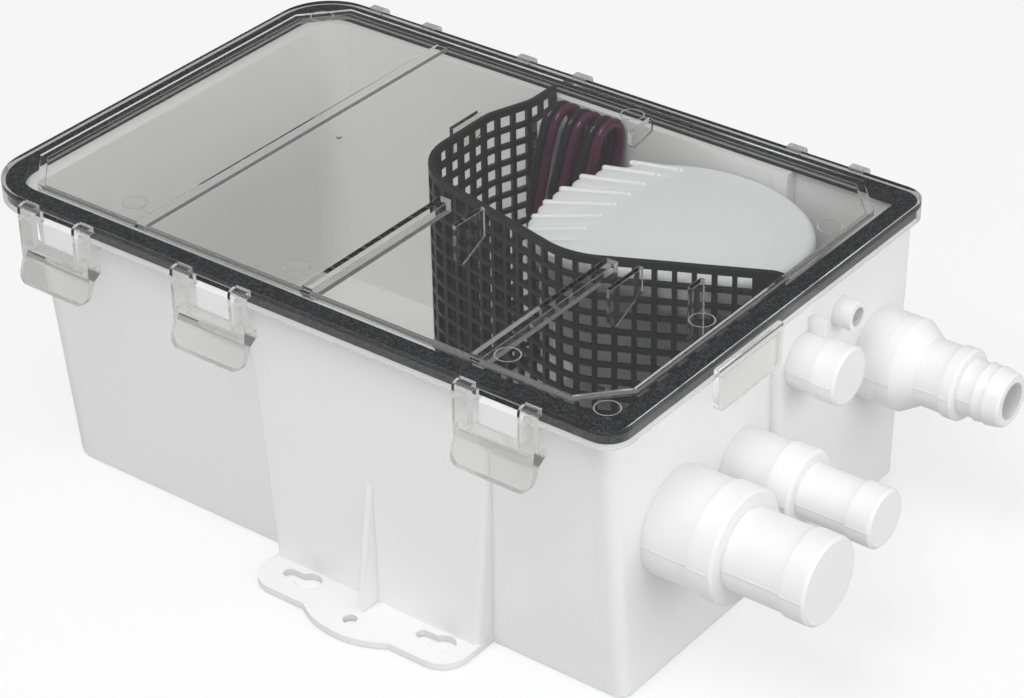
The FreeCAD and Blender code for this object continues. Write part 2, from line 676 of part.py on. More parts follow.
def make_tub():
    """The moulded tub."""
    outer = box_form("outer", 0, 0, "rim_height")
    cavity = box_form("cavity", "wall", "floor_thickness", "rim_height + 1")
    rim = plate("rim", "rim_half_length", "rim_half_width", RIM_UNDER, "rim_height",
                "lid_corner_left - skirt_gap - skirt_thickness",
                "lid_corner_right - skirt_gap - skirt_thickness")
    flange, flange_holes = foot_flanges()
    start = "(wall_right - wall / 2)"
    solid = fuse(
        "tub_solid", outer, rim, flange, *gussets(), *catches(),
        barb("large_inlet", "large_y", "large_z", start,
             [("(first_ring + first_ring_length)", "large_radius"), ("large_end", "large_neck_radius")],
             "first_ring", "end_ring_length"),
        barb("middle_inlet", "middle_y", "middle_z", start,
             [("(first_ring + first_ring_length)", "middle_radius"),
              ("middle_end", "middle_neck_radius")], "first_ring", "end_ring_length"),
        barb("upper_inlet", "upper_y", "upper_z", "(bay_end - wall / 2)",
             [("upper_end", "upper_radius")], "first_ring", "end_ring_length"),
        rod("nipple", "nipple_radius", "nipple_end - bay_end + wall / 2",
            "bay_end - wall / 2", "nipple_y", "nipple_z", "X"),
        box("nipple_bracket", "bay_end - wall / 2", "bracket_y", "bracket_z", "bracket_reach + wall / 2",
            "bracket_thickness", "bracket_height"),
        rod("socket", "socket_radius", "socket_end - bay_end + wall / 2",
            "bay_end - wall / 2", "outlet_y", "outlet_z", "X"))
    hollow = cut(
        "tub_hollow", solid, cavity,
        barb_bore("large_waterway", "large_y", "large_z",
                  [("first_ring", "large_radius - barb_wall"),
                   ("large_end - barb_tip", "large_neck_radius - barb_wall")]),
        barb_bore("middle_waterway", "middle_y", "middle_z",
                  [("first_ring", "middle_radius - barb_wall"),
                   ("middle_end - barb_tip", "middle_neck_radius - barb_wall")]),
        barb_bore("upper_waterway", "upper_y", "upper_z",
                  [("upper_end - barb_tip", "upper_radius - barb_wall")]),
        rod("nipple_hole", "nipple_bore", f"nipple_end - {BAY_INNER} + 4", f"{BAY_INNER} - 2",
            "nipple_y", "nipple_z", "X"),
        rod("socket_hole", "socket_bore", "socket_end",
            f"{BAY_INNER} + seat_thickness", "outlet_y", "outlet_z", "X"),
        *flange_holes)
    bosses = [rod(f"boss_{index}", "boss_radius", "boss_height + floor_thickness / 2", x, y,
                  "floor_thickness / 2") for index, (x, y) in enumerate(BOSSES)]
    stub = rod("outlet_stub", "stub_radius", "stub_length + wall / 2", f"{BAY_INNER} - stub_length",
               "outlet_y", "outlet_z", "X")
    whole = fuse("tub_whole", hollow, guides(outer), stub, *bosses)
    pilots = [rod(f"pilot_{index}", "screw_radius + 0.02", "boss_height + 2", x, y,
                  "floor_thickness - 0.8") for index, (x, y) in enumerate(BOSSES)]
    waterway = rod("outlet_waterway", "stub_bore", "stub_length * 2 + 12",
                   f"{BAY_INNER} - stub_length - 1", "outlet_y", "outlet_z", "X")
    node("tub", walls_apart(cut("tub_body", whole, waterway, *pilots)))


# Lid: border plate, skirt, raised panel, ribs, fins and lift tab


def octagon(inset):
    """Corners of the raised panel, drawn in by an inset."""
    long, wide = f"(panel_half_length - {inset})", f"(panel_half_width - {inset})"
    cut_long, cut_wide = f"(panel_cut_long - {inset} / 2)", f"(panel_cut_wide - {inset} / 2)"
    return [(f"-({long} - {cut_long})", f"-{wide}"), (f"{long} - {cut_long}", f"-{wide}"),
            (long, f"-({wide} - {cut_wide})"), (long, f"{wide} - {cut_wide}"),
            (f"{long} - {cut_long}", wide), (f"-({long} - {cut_long})", wide),
            (f"-{long}", f"{wide} - {cut_wide}"), (f"-{long}", f"-({wide} - {cut_wide})")]


def fin(name, x, y_low, y_high, deep, shallow, slope):
    """Thin hanging fin: a sloped tip at the front and a long slope to the back."""
    body = pad(name, "YZ_Plane",
               [(y_low, f"{PANEL_UNDER} + panel_thickness / 2"), (y_low, f"{PANEL_UNDER} - {deep} + {slope}"),
                (f"{y_low} + {slope}", f"{PANEL_UNDER} - {deep}"), (y_high, f"{PANEL_UNDER} - {shallow}"),
                (y_high, f"{PANEL_UNDER} + panel_thickness / 2")], "fin_thickness", both_ways=True)
    return move(body, x)


def make_lid():
    """The clear lid."""
    border = plate("lid_border", LID_END, LID_SIDE, SKIRT_BOTTOM, LID_TOP,
                   "lid_corner_left", "lid_corner_right")
    recess = plate("lid_recess", f"{LID_END} - skirt_thickness", f"{LID_SIDE} - skirt_thickness",
                   f"{SKIRT_BOTTOM} - 1", GASKET_TOP, "lid_corner_left - skirt_thickness",
                   "lid_corner_right - skirt_thickness")
    panel = pad("lid_panel", "XY_Plane", octagon("0"), f"{PANEL_TOP} - {GASKET_TOP}", GASKET_TOP)
    hollow = pad("lid_hollow", "XY_Plane", octagon("panel_wall"),
                 f"{PANEL_UNDER} - {GASKET_TOP} + 1", f"{GASKET_TOP} - 1")
    notches = []
    for place in LATCHES:
        front = box(f"notch_{place}", f"{place} - latch_window / 2", f"-{LID_SIDE} - 1",
                    f"{SKIRT_BOTTOM} - 1", "latch_window", "skirt_thickness + 1.2",
                    f"{GASKET_TOP} - {SKIRT_BOTTOM} + 1")
        notches += [front, mirrored(f"notch_{place}_back", front)]
    tab = pad("lift_tab", "YZ_Plane",
              [("tab_middle - tab_width / 2", f"{SKIRT_BOTTOM} - tab_drop"),
               ("tab_middle + tab_width / 2", f"{SKIRT_BOTTOM} - tab_drop"),
               ("tab_middle + tab_width / 2", f"{GASKET_TOP} - 0.6"),
               ("tab_middle - tab_width / 2", f"{GASKET_TOP} - 0.6")],
              "tab_proud", f"{LID_END} - 0.4")
    middle = size("rim_height") - size("catch_drop")
    rounded(tab, "tab_corner",
            lambda edge: edge.BoundBox.XLength > 0.99 * edge.Length and edge.CenterOfMass.z < middle)
    shell = cut("lid_shell", fuse("lid_form", border, panel), recess, hollow, *notches)
    wide = "(panel_half_width * 2 - panel_wall)"
    lower = f"{PANEL_UNDER} - rib_depth"
    upper = f"{PANEL_UNDER} + panel_thickness / 2"
    half = "71.6"
    ribs = [block("rib_left", "-67", "0", f"{PANEL_UNDER} - 1.6", upper, "rib_width", wide),
            block("rib_middle", "5", "-43.9", lower, upper, "rib_width", half),
            block("rib_right", "74.5", "-43.9", lower, upper, "rib_width", half)]
    fins = [fin("fin_one", "19", "-21", "-5.7", "16.6", "10.9", "3.3"),
            fin("fin_two", "84.5", "-24.3", "-6.2", "15.6", "9.2", "3.3"),
            fin("fin_three", "105", "-8", "-0.8", "20.8", "21.8", "0.8"),
            fin("fin_four", "-24.5", "32", "48", "14", "9", "3.3"),
            fin("fin_five", "28", "66", "79", "7", "5", "2")]
    node("lid", fuse("lid_body", shell, tab, *ribs, *fins))


def make_gasket():
    """Foam ring under the lid's border."""
    outside = "(gasket_proud - skirt_gap - skirt_thickness)"
    ring = plate("gasket_outer", "rim_half_length + gasket_proud", "rim_half_width + gasket_proud",
                 "rim_height", GASKET_TOP, f"lid_corner_left + {outside}", f"lid_corner_right + {outside}")
    hole = plate("gasket_inner", "rim_half_length + gasket_proud - gasket_width",
                 "rim_half_width + gasket_proud - gasket_width", "rim_height - 1", f"{GASKET_TOP} + 1",
                 f"lid_corner_left + {outside} - gasket_width",
                 f"max(lid_corner_right + {outside} - gasket_width; 1)")
    node("gasket", cut("gasket_body", ring, hole))


def make_latches():
    """Six latch loops: two legs, a hooked cross bar and a pull edge that flares out."""
    face = f"({LID_SIDE} + latch_reach)"
    back = f"({face} - latch_thickness)"
    hook = f"({LID_SIDE} - hook_bite)"
    bottom = f"({LID_TOP} - latch_drop)"
    ramp = f"({HOOK_TOP} - hook_height)"
    for place in LATCHES:
        strap = pad(f"strap_{place}", "YZ_Plane",
                    [(f"-{LID_SIDE}", LID_TOP), (f"-{face}", LID_TOP),
                     (f"-{face}", f"{ramp} - 2"), (f"-({face} + latch_flare)", bottom),
                     (f"-({back} + latch_flare)", bottom), (f"-{back}", f"{ramp} - 2"),
                     (f"-{hook}", ramp), (f"-{hook}", HOOK_TOP), (f"-{back}", HOOK_TOP),
                     (f"-{back}", GASKET_TOP), (f"-{LID_SIDE}", GASKET_TOP)],
                    "latch_width", both_ways=True)
        rounded(strap, "latch_thickness * 0.8",
                lambda edge: along_box(edge, lambda at: at.z > size("rim_height") + 4
                                       and at.y < -size("rim_half_width") - 5))
        low = size("rim_height") - size("catch_drop") - 10
        rounded(strap, "latch_corner",
                lambda edge: edge.CenterOfMass.z < low and edge.BoundBox.XLength < 0.01
                and edge.BoundBox.YLength > 2 and edge.BoundBox.ZLength < 0.01)
        move(strap, place)
        window = box(f"window_{place}", f"{place} - latch_window / 2", f"-({face} + 5)", HOOK_TOP,
                     "latch_window", "latch_reach + 7", f"{LID_TOP} - {HOOK_TOP} + 1")
        front = node(f"{place}_front", cut(f"{place}_front_body", strap, window))
        node(f"{place}_back", mirrored(f"{place}_back_body", front))


# Filter screen: a strip bent in plan, with rows of square holes


def rounded_route(corners, radii):
    """Line and arc edges through corner points, each inner corner rounded."""
    edges, start = [], corners[0]
    for before, corner, after, radius in zip(corners, corners[1:], corners[2:], radii):
        back, ahead = (before - corner).normalize(), (after - corner).normalize()
        half = back.getAngle(ahead) / 2
        reach = radius / math.tan(half)
        middle = corner + (back + ahead).normalize() * (radius / math.sin(half) - radius)
        edges.append(Part.makeLine(start, corner + back * reach))
        edges.append(Part.Arc(corner + back * reach, middle, corner + ahead * reach).toShape())
        start = corner + ahead * reach
    edges.append(Part.makeLine(start, corners[-1]))
    return edges


def screen_route():
    """Plan route of the strip, from the back wall round the pump to the barb wall."""
    corners = [Vector(size("screen_back_x"), size("wall_half"), 0),
               Vector(size("screen_back_x"), size("screen_back_y"), 0),
               Vector(size("screen_corner_x"), size("screen_lean_y"), 0),
               Vector(size("screen_corner_x"), size("screen_corner_y"), 0),
               Vector(size("screen_belly_x"), size("screen_belly_y"), 0),
               Vector(size("screen_turn_x"), size("screen_end_y"), 0),
               Vector(size("bay_end") - size("wall") - size("screen_gap"), size("screen_end_y"), 0)]
    return rounded_route(corners, [size("screen_back_round"), size("screen_back_round"),
                                   size("screen_corner_round"), size("screen_belly_round"),
                                   size("screen_turn_round")])


def make_screen():
    """Perforated strip that fences the pump off."""
    edges = screen_route()
    half = size("screen_thickness") / 2
    wire = Part.Wire(edges)
    samples = wire.discretize(Distance=0.25)
    low = size("floor_thickness") + size("screen_gap")
    high = size("screen_top")
    pitch, hole = size("mesh_pitch"), size("mesh_hole")
    pieces = []
    for edge in edges:
        line = [edge.valueAt(edge.FirstParameter), edge.valueAt(edge.LastParameter)]
        if edge.Curve.TypeId == "Part::GeomLine":
            side = (line[1] - line[0]).normalize().cross(Vector(0, 0, 1)) * half
            ring = [line[0] + side, line[1] + side, line[1] - side, line[0] - side]
            face = Part.Face(Part.makePolygon(ring + ring[:1]))
        else:
            centre = edge.Curve.Center
            middle = edge.valueAt((edge.FirstParameter + edge.LastParameter) / 2)
            three = [line[0], middle, line[1]]
            outside = [centre + (p - centre).normalize() * (edge.Curve.Radius + half) for p in three]
            inside = [centre + (p - centre).normalize() * (edge.Curve.Radius - half) for p in three]
            face = Part.Face(Part.Wire([
                Part.Arc(*outside).toShape(), Part.makeLine(outside[2], inside[2]),
                Part.Arc(*reversed(inside)).toShape(), Part.makeLine(inside[0], outside[0])]))
        face.translate(Vector(0, 0, low))
        pieces.append(face.extrude(Vector(0, 0, high - low)))
    strip = pieces[0].multiFuse(pieces[1:]).removeSplitter()
    envelope = document.getObject("envelope_form").Shape
    strip = strip.common(envelope.fuse(envelope_above()))
    columns = int((wire.Length - size("screen_tab") - pitch) // pitch)
    first = (wire.Length - size("screen_tab") - (columns - 1) * pitch) / 2
    rows = int((high - low - (pitch - hole)) // pitch)
    lowest = low + (high - low - (rows - 1) * pitch - hole) / 2
    cutters = []
    for column in range(columns):
        at = first + column * pitch
        index = min(int(at / wire.Length * (len(samples) - 1)), len(samples) - 2)
        place = samples[index]
        heading = (samples[index + 1] - samples[index]).normalize()
        turn = Rotation(Vector(1, 0, 0), heading)
        for row in range(rows):
            z = lowest + row * pitch
            if place.y + hole / 2 + (pitch - hole) > wall_inside(place.x, z) - size("screen_gap"):
                continue
            cutter = Part.makeBox(hole, 8, hole, Vector(-hole / 2, -4, 0))
            cutter.Placement = Placement(Vector(place.x, place.y, z), turn)
            cutters.append(cutter)
    screen = document.addObject("Part::Feature", "screen_body")
    screen.Shape = strip.cut(Part.makeCompound(cutters))
    print("screen holes", len(cutters), "route", round(wire.Length, 1))
    node("filter_screen", screen)


def envelope_above():
    """Room for the screen above the rim, inside the gasket and the lid's panel."""
    half = min(size("wall_half") - size("wall"),
               size("panel_half_width") - size("panel_wall")) - size("screen_gap")
    left = size("panel_half_length") - size("panel_wall") - size("screen_gap")
    return Part.makeBox(2 * left, 2 * half, 40, Vector(-left, -half, size("rim_height") - 1))


def wall_inside(x, z):
    """Inner face of the back wall at a place, in the pilaster or beside it."""
    flare = size("pilaster_flare") / 2 * z / size("rim_height")
    reach = size("pilaster_base") / 2 + flare
    if abs(x - size("pilaster_middle")) < reach - size("wall"):
        return size("wall_half") - size("wall")
    slope = (size("wall_half") - size("wall_half_base")) / size("rim_height")
    return size("wall_half_base") + slope * z - size("wall")


# Outlet: fitting with its check valve


def make_outlet():
    """Barb fitting, O-ring, flap and flap pin."""
    seat = f"({BAY_INNER} + seat_thickness)"
    spigot = "(socket_bore - spigot_gap)"
    start = f"({seat} + flap_thickness + flap_gap + 0.8)"
    outer = turned("fitting_outside", [
        (start, "0"), (start, spigot), ("socket_end", spigot), ("socket_end", "socket_radius"),
        ("socket_end + 5", "socket_radius"), ("socket_end + 12", "fitting_neck"),
        ("socket_end + 22", "fitting_neck"), ("socket_end + 22", "fitting_neck + ring_proud"),
        ("socket_end + 26", "fitting_neck + ring_proud"), ("socket_end + 27", "fitting_neck"),
        ("socket_end + 27", "fitting_tail"), ("fitting_end - 10", "fitting_tail"),
        ("fitting_end - 10", "fitting_tail + 0.6"), ("fitting_end - 6", "fitting_tail"),
        ("fitting_end - 6", "fitting_tail + 0.6"), ("fitting_end - 1", "fitting_tail - 0.2"),
        ("fitting_end", "fitting_tail - 1"), ("fitting_end", "0")], "outlet_y", "outlet_z")
    inner = turned("fitting_inside", [
        (f"{start} - 1", "0"), (f"{start} - 1", "fitting_bore"), ("socket_end + 6", "fitting_bore"),
        ("socket_end + 12", "fitting_mouth"), ("fitting_end + 1", "fitting_mouth"),
        ("fitting_end + 1", "0")], "outlet_y", "outlet_z")
    groove_place = "(socket_end - 4)"
    groove = cut("seal_groove",
                 rod("groove_outside", "socket_bore + 1", "seal_radius * 2.4",
                     f"{groove_place} - seal_radius * 1.2", "outlet_y", "outlet_z", "X"),
                 rod("groove_inside", f"{spigot} - seal_radius * 2", "seal_radius * 4",
                     f"{groove_place} - seal_radius * 2", "outlet_y", "outlet_z", "X"))
    pin_x, pin_z = f"({start} + 1.5)", "(outlet_z + pin_rise)"
    pin_hole = rod("pin_hole", "pin_radius + 0.05", f"{spigot} * 2", pin_x,
                   f"outlet_y - {spigot}", pin_z, "Y")
    node("outlet_fitting", cut("fitting_body", outer, inner, groove, pin_hole))
    seal = document.addObject("Part::Torus", "outlet_seal_ring")
    seal.Placement = Placement(Vector(), Rotation(Vector(0, 1, 0), 90))
    bind(seal, Radius1=f"{spigot} - seal_radius", Radius2="seal_radius * 0.95")
    node("outlet_seal", move(seal, groove_place, "outlet_y", "outlet_z"))
    pin_length = "(fitting_bore * 1.56)"
    node("flap_pin", rod("flap_pin_rod", "pin_radius", pin_length, pin_x,
                         f"outlet_y - {pin_length} / 2", pin_z, "Y"))
    disc = rod("flap_disc", "flap_radius", "flap_thickness", f"{seat} + flap_gap", "outlet_y",
               "outlet_z", "X")
    near = "outlet_y - knuckle_width / 2"
    knuckle = rod("flap_knuckle", "pin_radius + 0.9", "knuckle_width", pin_x, near, pin_z, "Y")
    web = box("flap_web", f"{seat} + flap_gap", near, f"{pin_z} - 3",
              f"{pin_x} - {seat} - flap_gap", "knuckle_width", "3")
    eye = rod("flap_eye", "pin_radius + pin_gap", "knuckle_width + 2", pin_x, f"{near} - 1", pin_z, "Y")
    node("valve_flap", cut("flap_body", fuse("flap_form", disc, knuckle, web), eye))


# Pump: strainer, volute, impeller, motor, housing and cap


def feature(name, shape):
    """Document object of a computed shape."""
    thing = document.addObject("Part::Feature", name)
    thing.Shape = shape
    return thing


def oval_face(half_length, half_width):
    """Flat oval of four arcs that meet smoothly, about the origin."""
    nose = 1.1 * half_width ** 2 / half_length
    reach = half_length - nose
    flank = (reach ** 2 + half_width ** 2 - nose ** 2) / (2 * (half_width - nose))
    centre = Vector(0, half_width - flank, 0)
    lean = (Vector(reach, 0, 0) - centre).normalize()
    join = centre + lean * flank
    corners = [join, Vector(-join.x, join.y, 0), Vector(-join.x, -join.y, 0), Vector(join.x, -join.y, 0)]
    middles = [Vector(0, half_width, 0), Vector(-half_length, 0, 0), Vector(0, -half_width, 0),
               Vector(half_length, 0, 0)]
    arcs = [Part.Arc(corners[index], middle, corners[(index + 1) % 4]).toShape()
            for index, middle in enumerate(middles)]
    return Part.Face(Part.Wire(arcs))


def value_of(expression):
    """Present value of an expression in the named sizes."""
    probe.setExpression("Radius", sized(expression))
    probe.recompute()
    return float(probe.Radius)


def oval(name, x, y, half_length, half_width, low, height):
    """Upright oval prism."""
    face = feature(f"{name}_plan", oval_face(value_of(half_length), value_of(half_width)))
    move(face, x, y, low)
    prism = document.addObject("Part::Extrusion", name)
    prism.Base = face
    prism.DirMode = "Custom"
    prism.Dir = Vector(0, 0, 1)
    prism.Solid = True
    bind(prism, LengthFwd=height)
    return prism


def make_strainer():
    """Slotted base with an inner plate on the floor's bosses, and its three screws."""
    bottom = "(floor_thickness + strainer_gap)"
    plate_low = "(floor_thickness + boss_height)"
    top = f"({bottom} + strainer_height)"
    place = ("strainer_x", "strainer_y")
    wall_out = oval("strainer_outside", *place, "strainer_half_length", "strainer_half_width",
                    bottom, "strainer_height")
    wall_in = oval("strainer_inside", *place, "strainer_half_length - strainer_wall",
                   "strainer_half_width - strainer_wall", f"{bottom} - 1",
                   "strainer_height - strainer_wall + 1")
    shell = cut("strainer_shell", wall_out, wall_in)
    web = oval("strainer_web", *place, "strainer_half_length - strainer_wall / 2",
               "strainer_half_width - strainer_wall / 2", plate_low, "strainer_plate")
    eye = rod("strainer_eye", "impeller_radius * 0.6", "strainer_height + 20", "pump_x", "pump_y", 0)
    holes = [rod(f"strainer_hole_{index}", "screw_radius + 0.1", "strainer_plate + 2", x, y,
                 f"{plate_low} - 1") for index, (x, y) in enumerate(BOSSES)]
    access = [rod(f"strainer_access_{index}", "screw_head + 0.6", "strainer_height", x, y,
                  f"{plate_low} + strainer_plate") for index, (x, y) in enumerate(BOSSES)]
    slots = document.addObject("Part::Feature", "strainer_slots")
    boxes = []
    count = 26
    reach = size("strainer_half_length") + 5
    for index in range(count):
        cutter = Part.makeBox(reach, size("strainer_slot"), size("boss_height") + 5,
                              Vector(0, -size("strainer_slot") / 2, size("floor_thickness") - 1))
        cutter.Placement = Placement(Vector(size("strainer_x"), size("strainer_y"), 0),
                                     Rotation(Vector(0, 0, 1), 360 * (index + 0.5) / count))
        boxes.append(cutter)
    keep = oval_face(size("strainer_half_length") - size("strainer_wall") - 1,
                     size("strainer_half_width") - size("strainer_wall") - 1).extrude(Vector(0, 0, 60))
    keep.translate(Vector(size("strainer_x"), size("strainer_y"), -10))
    slots.Shape = boxes[0].multiFuse(boxes[1:]).cut(keep)
    node("strainer_base", cut("strainer_body", fuse("strainer_form", shell, web), eye, slots,
                              *holes, *access))
    screws = []
    for index, (x, y) in enumerate(BOSSES):
        shank = rod(f"screw_shank_{index}", "screw_radius", "strainer_plate + boss_height - 1", x, y,
                    "floor_thickness + 1")
        head = rod(f"screw_top_{index}", "screw_head", "1.8", x, y, f"{plate_low} + strainer_plate")
        slot = block(f"screw_drive_{index}", x, y, f"{plate_low} + strainer_plate + 1",
                     f"{plate_low} + strainer_plate + 3", "screw_head * 3", "0.8")
        screws.append(cut(f"screw_{index}", fuse(f"screw_form_{index}", shank, head), slot))
    group = document.addObject("Part::Compound", "base_screw_group")
    group.Links = screws
    node("base_screws", group)
    return top


def spiral(growth_start, low, height):
    """Spiral prism of four quarter arcs, each larger than the one before."""
    radius, growth = growth_start, size("volute_growth")
    centre = Vector(size("pump_x"), size("pump_y"), low)
    start = centre + Vector(0, -radius, 0)
    edges, first = [], start
    angle = -90
    for _ in range(4):
        direction = Vector(math.cos(math.radians(angle)), math.sin(math.radians(angle)), 0)
        middle = Vector(math.cos(math.radians(angle - 45)), math.sin(math.radians(angle - 45)), 0)
        finish = Vector(math.cos(math.radians(angle - 90)), math.sin(math.radians(angle - 90)), 0)
        hub = start - direction * (radius + growth)
        radius += growth
        edges.append(Part.Arc(start, hub + middle * radius, hub + finish * radius).toShape())
        start = hub + finish * radius
        angle -= 90
    edges.append(Part.makeLine(start, first))
    return Part.Face(Part.Wire(edges)).extrude(Vector(0, 0, height)), start


def bent_tube(start, first_heading, run, bend, rise, radius):
    """Tube along a straight run, a quarter bend and a straight rise."""
    corner = start + first_heading * run
    up = Vector(0, 0, 1) if abs(first_heading.z) < 0.5 else Vector(1, 0, 0)
    centre = corner + up * bend
    knee = centre - up * bend * math.cos(math.radians(45)) + first_heading * bend * math.sin(math.radians(45))
    bend_end = centre + first_heading * bend
    finish = bend_end + up * rise
    path = Part.Wire([Part.makeLine(start, corner), Part.Arc(corner, knee, bend_end).toShape(),
                      Part.makeLine(bend_end, finish)])
    ring = Part.Wire(Part.makeCircle(radius, start, first_heading))
    return path.makePipeShell([ring], True, False)


def make_pump():
    """Everything of the pump above its strainer."""
    base = size("floor_thickness") + size("strainer_gap") + size("strainer_height")
    wall, height = size("volute_wall"), size("volute_height")
    axis = Vector(size("pump_x"), size("pump_y"), 0)
    outside, _ = spiral(size("volute_radius") + wall, base, height)
    inside, _ = spiral(size("volute_radius"), base + wall, height - 2 * wall)
    nozzle_y = size("outlet_y")
    nozzle_z = base + height / 2
    run = size("nozzle_x") - size("nozzle_bend") - axis.x
    start = Vector(axis.x, nozzle_y, nozzle_z)
    nozzle = bent_tube(start, Vector(1, 0, 0), run, size("nozzle_bend"), size("nozzle_rise"),
                       size("nozzle_radius"))
    bore = bent_tube(start, Vector(1, 0, 0), run, size("nozzle_bend"), size("nozzle_rise") + 1,
                     size("nozzle_bore"))
    eye = Part.makeCylinder(size("impeller_radius") * 0.5, wall + 2, axis + Vector(0, 0, base - 1))
    seal_hole = Part.makeCylinder(size("seal_outer"), wall + 2, axis + Vector(0, 0, base + height - wall - 1))
    volute = document.addObject("Part::Feature", "volute_body")
    volute.Shape = outside.fuse(nozzle).removeSplitter().cut(inside).cut(bore).cut(eye).cut(seal_hole)
    node("volute", volute)
    deck = base + height
    node("shaft_seal", turned_upright("seal_form", [
        ("shaft_radius + running_gap", f"{deck} - seal_length"), ("seal_outer - 0.02", f"{deck} - seal_length"),
        ("seal_outer - 0.02", f"{deck}"), ("shaft_radius + 1.4", f"{deck}"),
        ("shaft_radius + 1.4", f"{deck} - seal_length + 1.2"),
        ("shaft_radius + running_gap", f"{deck} - seal_length + 1.2")], "pump_x", "pump_y"))
    make_impeller(axis, base + wall + 1.2)
    make_motor(deck)
    make_housing(deck)


def make_impeller(axis, low):
    """Open impeller: hub, back plate and six curved vanes."""
    radius, hub = size("impeller_radius"), size("hub_radius")
    tall, disc = size("vane_height"), size("impeller_disc")
    plate_form = Part.makeCylinder(radius, disc, axis + Vector(0, 0, low + tall))
    core = Part.makeCylinder(hub, tall + disc + 1, axis + Vector(0, 0, low))
    thin = size("vane_thickness")
    curve = radius * 0.75
    vanes = []
    for index in range(6):
        turn = Rotation(Vector(0, 0, 1), 60 * index)
        centre = axis + turn.multVec(Vector(hub * 0.6 + curve * 0.55, -curve * 0.75, low))
        ring = Part.makeCylinder(curve, tall, centre).cut(Part.makeCylinder(curve - thin, tall, centre))
        sector = Part.makeCylinder(radius, tall, axis + Vector(0, 0, low), Vector(0, 0, 1), 75)
        sector.rotate(axis, Vector(0, 0, 1), 60 * index - 5)
        vanes.append(ring.common(sector))
    form = plate_form.fuse([core] + vanes).removeSplitter()
    bore = Part.makeCylinder(size("shaft_radius") + 0.02, tall + disc + 3, axis + Vector(0, 0, low - 1))
    impeller = document.addObject("Part::Feature", "impeller_body")
    impeller.Shape = form.cut(bore)
    node("impeller", impeller)


def make_motor(deck):
    """Motor can, end bell, bearings and shaft."""
    low = f"({deck} + 3)"
    high = f"({low} + motor_length)"
    node("motor_can", turned_upright("can_form", [
        ("bearing_radius + 0.02", low), ("motor_radius", low), ("motor_radius", high),
        ("motor_radius - motor_wall", high), ("motor_radius - motor_wall", f"{low} + motor_wall"),
        ("bearing_radius + 2", f"{low} + motor_wall"), ("bearing_radius + 2", f"{low} + bearing_length"),
        ("bearing_radius + 0.02", f"{low} + bearing_length")], "pump_x", "pump_y"))
    node("end_bell", turned_upright("bell_form", [
        ("bearing_radius + 0.02", f"{high} - bearing_length"),
        ("bearing_radius + 2", f"{high} - bearing_length"), ("bearing_radius + 2", f"{high}"),
        ("motor_radius", f"{high}"), ("motor_radius", f"{high} + bell_thickness"),
        ("bearing_radius + 0.02", f"{high} + bell_thickness")], "pump_x", "pump_y"))
    for name, start in (("lower_bearing", low), ("upper_bearing", f"({high} - bearing_length)")):
        node(name, cut(f"{name}_body",
                       rod(f"{name}_ring", "bearing_radius", "bearing_length", "pump_x", "pump_y", start),
                       rod(f"{name}_bore", "shaft_radius + running_gap", "bearing_length + 2",
                           "pump_x", "pump_y", f"{start} - 1")))
    first = f"({deck} - volute_height + volute_wall + 1.4)"
    shaft = rod("shaft_rod", "shaft_radius", f"{high} + 1 - {first}", "pump_x", "pump_y", first)
    armature = rod("armature", "motor_radius - motor_wall - 3.5", "motor_length - bearing_length * 2 - 8",
                   "pump_x", "pump_y", f"{low} + bearing_length + 4")
    node("rotor_shaft", fuse("rotor_form", shaft, armature))


def make_housing(deck):
    """Oval motor housing with its float chamber, the float, stem, cap and lead gland."""
    top = f"({deck} + housing_height)"
    shell = cut("housing_shell",
                oval("housing_outside", "housing_x", "housing_y", "housing_half_length",
                     "housing_half_width", deck, "housing_height"),
                oval("housing_inside", "housing_x", "housing_y", "housing_half_length - housing_wall",
                     "housing_half_width - housing_wall", f"{deck} + housing_wall", "housing_height"))
    chamber_in = "(float_radius + chamber_gap)"
    tube = rod("chamber_outside", f"{chamber_in} + chamber_wall", "housing_height - 6", "float_x",
               "float_y", deck)
    bore = rod("chamber_inside", chamber_in, "housing_height + 2", "float_x", "float_y", f"{deck} - 1")
    shaft_hole = rod("housing_shaft_hole", "seal_outer + 0.5", "housing_wall + 2", "pump_x", "pump_y",
                     f"{deck} - 1")
    gland_hole = rod("gland_hole", "gland_radius", "housing_half_length", "gland_end", "gland_y",
                     "gland_z", "X")
    node("motor_housing", cut("housing_body", fuse("housing_form", shell, tube), bore, shaft_hole,
                              gland_hole))
    stem_low = f"({deck} + 1)"
    stem = rod("stem_rod", "stem_radius", f"{top} - 1 - {stem_low}", "float_x", "float_y", stem_low)
    stop = rod("stem_stop", "stem_radius + 2", "1.2", "float_x", "float_y", stem_low)
    cover = rod("stem_cover", f"{chamber_in} + chamber_wall", "3", "float_x", "float_y", f"{top} - 6")
    node("switch_stem", fuse("stem_form", stem, stop, cover))
    rest = f"({stem_low} + 1.4)"
    node("switch_float", cut("float_body",
                             rod("float_ring", "float_radius", "float_height", "float_x", "float_y", rest),
                             rod("float_bore", "stem_radius + float_gap", "float_height + 2", "float_x",
                                 "float_y", f"{rest} - 1")))
    make_cap(top)


def capsule(radius, length, start, heading):
    """Rod with a ball at either end."""
    side = Vector(-heading.y, heading.x, 0)
    finish = start + heading * length
    nose, tip = start - heading * radius, finish + heading * radius
    slant = math.sqrt(0.5) * radius
    edges = [Part.Arc(nose, start - heading * slant + side * slant, start + side * radius).toShape(),
             Part.makeLine(start + side * radius, finish + side * radius),
             Part.Arc(finish + side * radius, finish + heading * slant + side * slant, tip).toShape(),
             Part.makeLine(tip, nose)]
    return Part.Face(Part.Wire(edges)).revolve(start, heading, 360)


